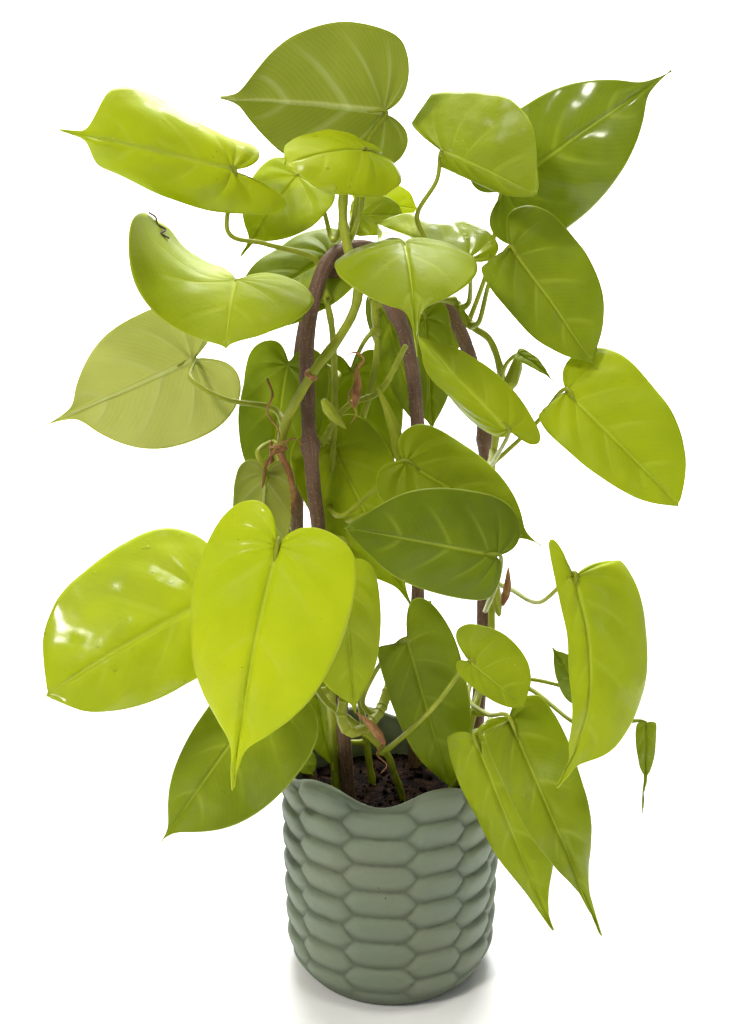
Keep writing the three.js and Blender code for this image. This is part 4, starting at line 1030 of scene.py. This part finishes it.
def leaf_upper():
    paint = Paint("leaf upper side")
    row, across = paint.flat("ribs")
    tone, shine = paint.attribute("tone"), paint.attribute("shine")
    reach = across.size()
    slow, patch, fine = paint.grain(16, 3), paint.grain(45, 4), paint.grain(110, 5)
    from_vein, thread = rib_pattern(paint, row, reach, fine)
    side_vein = from_vein.ramp(0.1, 0.01) * reach.ramp(0.9, 0.3) * reach.ramp(0.02, 0.1)
    midrib = reach.ramp(0.05, 0.008)
    # a thin band along the edge, for the painted glow of light coming through it
    margin = reach.ramp(0.972, 0.99)
    # lighter and darker greens picked by the tone: partly the leaf's own colour, partly painted light and
    # shade
    lit_lime_green = paint.blend(slow.ramp(0.3, 0.75), LEAF_LIME, LEAF_BRIGHT)
    shaded_deep_green = paint.blend(slow.ramp(0.3, 0.75), LEAF_DEEP, LEAF_MID)
    body = paint.blend((tone + 0.35 * (patch - 0.5)).clipped(), shaded_deep_green, lit_lime_green)
    body = paint.blend(thread * 0.03, body, LEAF_PALE)
    # the paler midrib and side veins are the leaf's own colour; the pale line along the margin is painted
    # glow where light comes through the thin edge
    body = paint.blend((side_vein * 0.17 + midrib * 0.42 + margin * 0.4).clipped(), body, LEAF_PALE)
    specks = paint.cells(300).ramp(0.12, 0.06) * paint.grain(38, 2).ramp(0.6, 0.66)
    body = paint.blend(specks * 0.85, body, (0.03, 0.028, 0.006))
    scuff = paint.cells(520).ramp(0.2, 0.1) * patch.ramp(0.62, 0.7)
    body = paint.blend(scuff * 0.5, body, (0.66, 0.72, 0.35))
    drops = paint.cells(170).ramp(0.26, 0.12) * paint.grain(30, 2).ramp(0.5, 0.6) * shine
    wet = (shine * paint.grain(26, 3).ramp(0.46, 0.6)).math("MAXIMUM", drops)
    height = 0.8 * fine + 0.5 * paint.grain(520, 3) - 0.5 * side_vein
    height = height + 0.04 * thread - 0.6 * midrib + 1.6 * drops
    relief = paint.bump(height, 0.00032)
    rough = 0.4 + 0.22 * patch + 0.08 * slow
    face = paint.surface(Base_Color=body, Roughness=rough, Normal=relief, Specular_IOR_Level=0.2,
                         Coat_Weight=wet, Coat_Roughness=0.16)
    return lit_through(paint, face)


def leaf_under():
    paint = Paint("leaf underside")
    row, across = paint.flat("ribs")
    tone = paint.attribute("tone")
    reach = across.size()
    slow, patch, fine = paint.grain(18, 3), paint.grain(50, 4), paint.grain(120, 5)
    from_vein, thread = rib_pattern(paint, row, reach, fine)
    side_vein = from_vein.ramp(0.13, 0.01) * reach.ramp(1.0, 0.5)
    midrib = reach.ramp(0.06, 0.02)
    # the tone also paints light and shade on the underside, as well as its own colour
    body = paint.blend((tone + 0.3 * (patch - 0.5)).clipped(), UNDER_DULL, UNDER_PALE)
    body = paint.blend(slow.ramp(0.4, 0.75) * 0.25, body, LEAF_MID)
    body = paint.blend((side_vein * 0.3 + midrib * 0.5 + thread * 0.07).clipped(), body, UNDER_RIB)
    height = 0.8 * fine + 0.8 * side_vein + 1.6 * midrib + 0.2 * thread
    relief = paint.bump(height, 0.00035)
    rough = 0.5 + 0.2 * patch
    face = paint.surface(Base_Color=body, Roughness=rough, Normal=relief, Specular_IOR_Level=0.2)
    return lit_through(paint, face)


def green_stem():
    paint = Paint("green stem")
    slow, fine = paint.grain(35, 4), paint.grain(300, 4)
    streak = paint.streaks((20, 2.2), 3)
    body = paint.blend(slow.ramp(0.35, 0.7), STEM_GREEN, STEM_PALE)
    body = paint.blend(streak.ramp(0.55, 0.75) * 0.35, body, STEM_DEEP)
    specks = paint.cells(700).ramp(0.2, 0.1) * slow.ramp(0.5, 0.62)
    body = paint.blend(specks * 0.6, body, (0.09, 0.05, 0.015))
    relief = paint.bump(0.6 * fine + 0.8 * streak, 0.0003)
    return paint.finish(paint.surface(Base_Color=body, Roughness=0.36 + 0.2 * fine, Normal=relief,
                                      Specular_IOR_Level=0.25))


def twig_bark():
    paint = Paint("twig bark")
    slow, fine = paint.grain(38, 4), paint.grain(520, 6)
    streak = paint.streaks((70, 6), 5)
    body = paint.blend(slow.ramp(0.35, 0.68), BARK_BROWN, BARK_PURPLE)
    body = paint.blend(streak.ramp(0.52, 0.74) * 0.55, body, BARK_GREY)
    body = paint.blend(streak.ramp(0.46, 0.3) * 0.5, body, BARK_DARK)
    pores = paint.cells(760).ramp(0.34, 0.16) * fine.ramp(0.44, 0.54)
    body = paint.blend(pores * 0.6, body, BARK_PORE)
    height = 0.7 * streak + 0.6 * fine + 0.3 * pores
    relief = paint.bump(height, 0.0004)
    return paint.finish(paint.surface(Base_Color=body, Roughness=0.6 + 0.2 * fine, Normal=relief))


def dark_soil():
    paint = Paint("potting soil")
    slow, fine = paint.grain(120, 4), paint.grain(700, 6)
    bits = paint.cells(420)
    body = paint.blend(slow.ramp(0.42, 0.62), (0.006, 0.004, 0.003), (0.02, 0.01, 0.006))
    body = paint.blend(bits.ramp(0.32, 0.2) * slow.ramp(0.5, 0.58) * 0.6, body, (0.07, 0.032, 0.016))
    body = paint.blend(paint.cells(800).ramp(0.16, 0.1) * fine.ramp(0.55, 0.6), body, (0.16, 0.13, 0.1))
    relief = paint.bump(fine + bits, 0.0008)
    return paint.finish(paint.surface(Base_Color=body, Roughness=0.8 + 0.2 * fine, Normal=relief,
                                      Specular_IOR_Level=0.05))


def pot_glaze():
    paint = Paint("sage green pot")
    seam = paint.attribute("seam")
    slow, fine, tiny = paint.grain(22, 4), paint.grain(240, 4), paint.grain(900, 3)
    body = paint.blend(slow.ramp(0.35, 0.7), POT_SAGE, POT_SAGE_WARM)
    # painted shade: darker in the seams between scales, down the lower part of each scale, over the rounded
    # foot, partly over the rim and toward the bottom inside the pot, where shade falls
    body = paint.blend(seam.ramp(0.35, 1.0) * 0.5, body, POT_PAINTED_SHADE)
    body = paint.blend(tiny.ramp(0.6, 0.8) * 0.3, body, POT_PALE)
    specks = paint.cells(150).ramp(0.075, 0.04) * paint.grain(25, 2).ramp(0.55, 0.6)
    body = paint.blend(specks * 0.9, body, (0.012, 0.014, 0.01))
    relief = paint.bump(0.5 * fine + 0.6 * tiny, 0.00028)
    rough = 0.5 + 0.16 * fine + 0.1 * slow
    surface = paint.surface(Base_Color=body, Roughness=rough, Normal=relief, Specular_IOR_Level=0.4)
    return paint.finish(surface)


def dry_sheath():
    paint = Paint("dried sheath")
    slow, fine = paint.grain(90, 4), paint.grain(500, 5)
    fibre = paint.grain(1.0, 4, where=paint.stretched((900, 900, 60)))
    body = paint.blend(slow.ramp(0.35, 0.65), (0.2, 0.075, 0.02), (0.42, 0.2, 0.06))
    body = paint.blend(fibre.ramp(0.5, 0.7) * 0.5, body, (0.09, 0.035, 0.012))
    relief = paint.bump(fine + fibre, 0.0004)
    return paint.finish(paint.surface(Base_Color=body, Roughness=0.55 + 0.25 * fine, Normal=relief))


# ---- sheaths, buds and the rolled young leaf -------------------------------------------------------
# foot, tip and widest radius; green ones are still soft
SHEATHS = {
    "new_leaf": ((6, -12, 302), (-8, -8, 348), 3.6, "green"),
    "bud_right": ((65, 30, 339), (71, 24, 364), 4.2, "green"),
    "sheath_right": ((63, 4, 221), (65, -2, 246), 2.4, "dry"),
    "sheath_green": ((63, 20, 209), (54, 14, 243), 3.0, "green"),
    "sheath_pale": ((-25, -16, 276), (-6, -40, 289), 2.8, "green"),
    "sheath_high": ((-36, -36, 346), (-24, -34, 330), 3.0, "green"),
    "sheath_left": ((-72, 2, 279), (-64, -18, 322), 2.0, "dry"),
    "sheath_center": ((-20, -16, 338), (-19, -14, 361), 2.2, "dry"),
    "sheath_low": ((-4, -52, 162), (-19, -58, 183), 2.4, "dry"),
}


# dried strings that hang from a sheath: radius and route
STRINGS = {
    "sheath_left": (
        (0.8, ((-61, -16, 316), (-67, -18, 308), (-69, -17, 296), (-70, -15, 284), (-68, -14, 276))),
        (1.7, ((-60, -17, 314), (-55, -19, 304), (-53, -18, 292), (-54, -16, 280))),
        (0.5, ((-64, -16, 314), (-58, -22, 320), (-52, -20, 322), (-47, -18, 318))),
        (0.6, ((-66, -14, 353), (-63, -18, 345), (-66, -18, 336), (-60, -19, 326), (-61, -17, 317))),
        (0.6, ((-65, -14, 316), (-62, -21, 318), (-57, -18, 317), (-59, -12, 314), (-65, -15, 312))),
    ),
    "sheath_center": (
        (0.5, ((-20, -16, 350), (-23, -20, 344), (-19, -22, 336), (-22, -20, 330))),
        (0.6, ((-19, -16, 358), (-15, -20, 364), (-20, -22, 368), (-26, -18, 364))),
    ),
    "sheath_low": (
        (0.5, ((-4, -52, 163), (-8, -56, 158), (-3, -60, 154), (-6, -58, 148))),
    ),
}
# strings wound round the left vine: height, turns, how far they stand off
WINDINGS = ((357, 2.6, 3.0), (315, 2.2, 3.1), (268, 1.6, 3.1))
WINDING_SPREAD = 4.5              # length of vine that a winding covers


def wound_string(height, turns, stand_off, skin):
    """A dry string wound unevenly round the left vine at a height."""
    line = catmull(VINES["vine_left"][2], 600)
    side, lift = frames_along(line)
    middle = int(np.argmin(np.abs(line[:, 2] - height)))
    route = []
    for step in range(int(turns * 12)):
        turn = TURN * step / 12
        share = step / (turns * 12) - 0.5 + 0.12 * math.sin(1.7 * turn)
        at = middle + int(share * WINDING_SPREAD)
        far = stand_off * (1 + 0.14 * math.sin(2.3 * turn + height))
        route.append(line[at] + far * (side[at] * math.cos(turn) + lift[at] * math.sin(turn)))
    string = tube("winding", route, 0.55, 30 * len(route) // 10, 8)
    give(string, skin)
    return string


def make_sheath(name, foot, tip, girth, kind, skin):
    """A rolled scale: a spindle wrapped by one overlapping edge, with a few lengthwise folds."""
    seed = Random(name).random() * 30
    foot, tip = np.array(foot, float), np.array(tip, float)
    across = unit(np.cross(tip - foot, (0.3, -0.9, 0.2)))
    middle = (foot + tip) / 2 + across * np.linalg.norm(tip - foot) * 0.05

    def radius(along):
        return girth * np.interp(along, (0, 0.05, 0.25, 0.55, 0.85, 1), (0.25, 0.55, 1, 0.85, 0.4, 0.05))

    def relief(along, turn, points):
        wrap = 0.3 * ((turn / TURN + 0.5 + 0.35 * along) % 1) - 0.15
        folds = 0.12 * np.sin(6 * turn + 3 * along)
        rough = (0.35 if kind == "dry" else 0.12) * noise_at(points, 5, seed)
        return (wrap * girth * 0.6 + folds + rough) * np.sin(np.pi * along) ** 0.5

    piece = tube(name, [foot, middle, tip], radius, 120, 36, relief)
    give(piece, skin)
    strings = []
    for girth, route in STRINGS.get(name, ()):
        string = tube("string", route, lambda along: girth * (1.1 - 0.8 * along ** 2), 50, 10,
                      lambda along, turn, points: 0.3 * girth * noise_at(points, 2, seed))
        give(string, skin)
        strings.append(string)
    if name == "sheath_left":
        strings += [wound_string(*winding, skin) for winding in WINDINGS]
    join(piece, strings)
    stand_in_for(piece, name)


# ---- floor -----------------------------------------------------------------------------------------
def make_floor():
    """A pale sheet that runs back and turns up into a soft wall."""
    bpy.ops.object.select_all(action="DESELECT")
    bpy.ops.mesh.primitive_plane_add(size=5)
    floor = active_piece("floor")
    corners = read_points(floor)
    back = corners[:, 1] > 0
    bpy.ops.object.mode_set(mode="EDIT")
    bpy.ops.mesh.select_all(action="DESELECT")
    bpy.ops.object.mode_set(mode="OBJECT")
    for edge in floor.data.edges:
        edge.select = all(back[corner] for corner in edge.vertices)
    bpy.ops.object.mode_set(mode="EDIT")
    bpy.ops.mesh.select_mode(type="EDGE")
    bpy.ops.mesh.extrude_region_move(TRANSFORM_OT_translate={"value": (0, 0, 3.5)})
    bpy.ops.object.mode_set(mode="OBJECT")
    apply_modifier(floor, "turn-up", "BEVEL", width=0.9, segments=24, limit_method="ANGLE")
    smooth(floor)
    paint = Paint("pale paper")
    body = paint.blend(paint.grain(3, 2), (0.9, 0.9, 0.9), (0.94, 0.94, 0.94))
    give(floor, paint.finish(paint.surface(Base_Color=body, Roughness=0.95)))
    return floor


# ---- the whole plant -------------------------------------------------------------------------------
set_camera()
set_light()

leaf_top, leaf_back, stem_skin, bark = leaf_upper(), leaf_under(), green_stem(), twig_bark()
dry_skin = dry_sheath()

make_pot(pot_glaze())
make_soil(dark_soil())
for name, (route, knots) in HOOPS.items():
    make_hoop(name, route, knots, bark)
for name, (radius, rooted, route) in VINES.items():
    thin = radius < 1
    make_vine(name, route, radius, rooted, stem_skin, nodes=4 if thin else 9, rings=120 if thin else 360)
for name, (foot, tip, girth, kind) in SHEATHS.items():
    make_sheath(name, foot, tip, girth, kind, dry_skin if kind == "dry" else stem_skin)
for name, leaf in LEAVES.items():
    make_leaf("leaf_" + name, {**USUAL_LEAF, **leaf}, (leaf_top, leaf_back), stem_skin, bark)

make_floor()
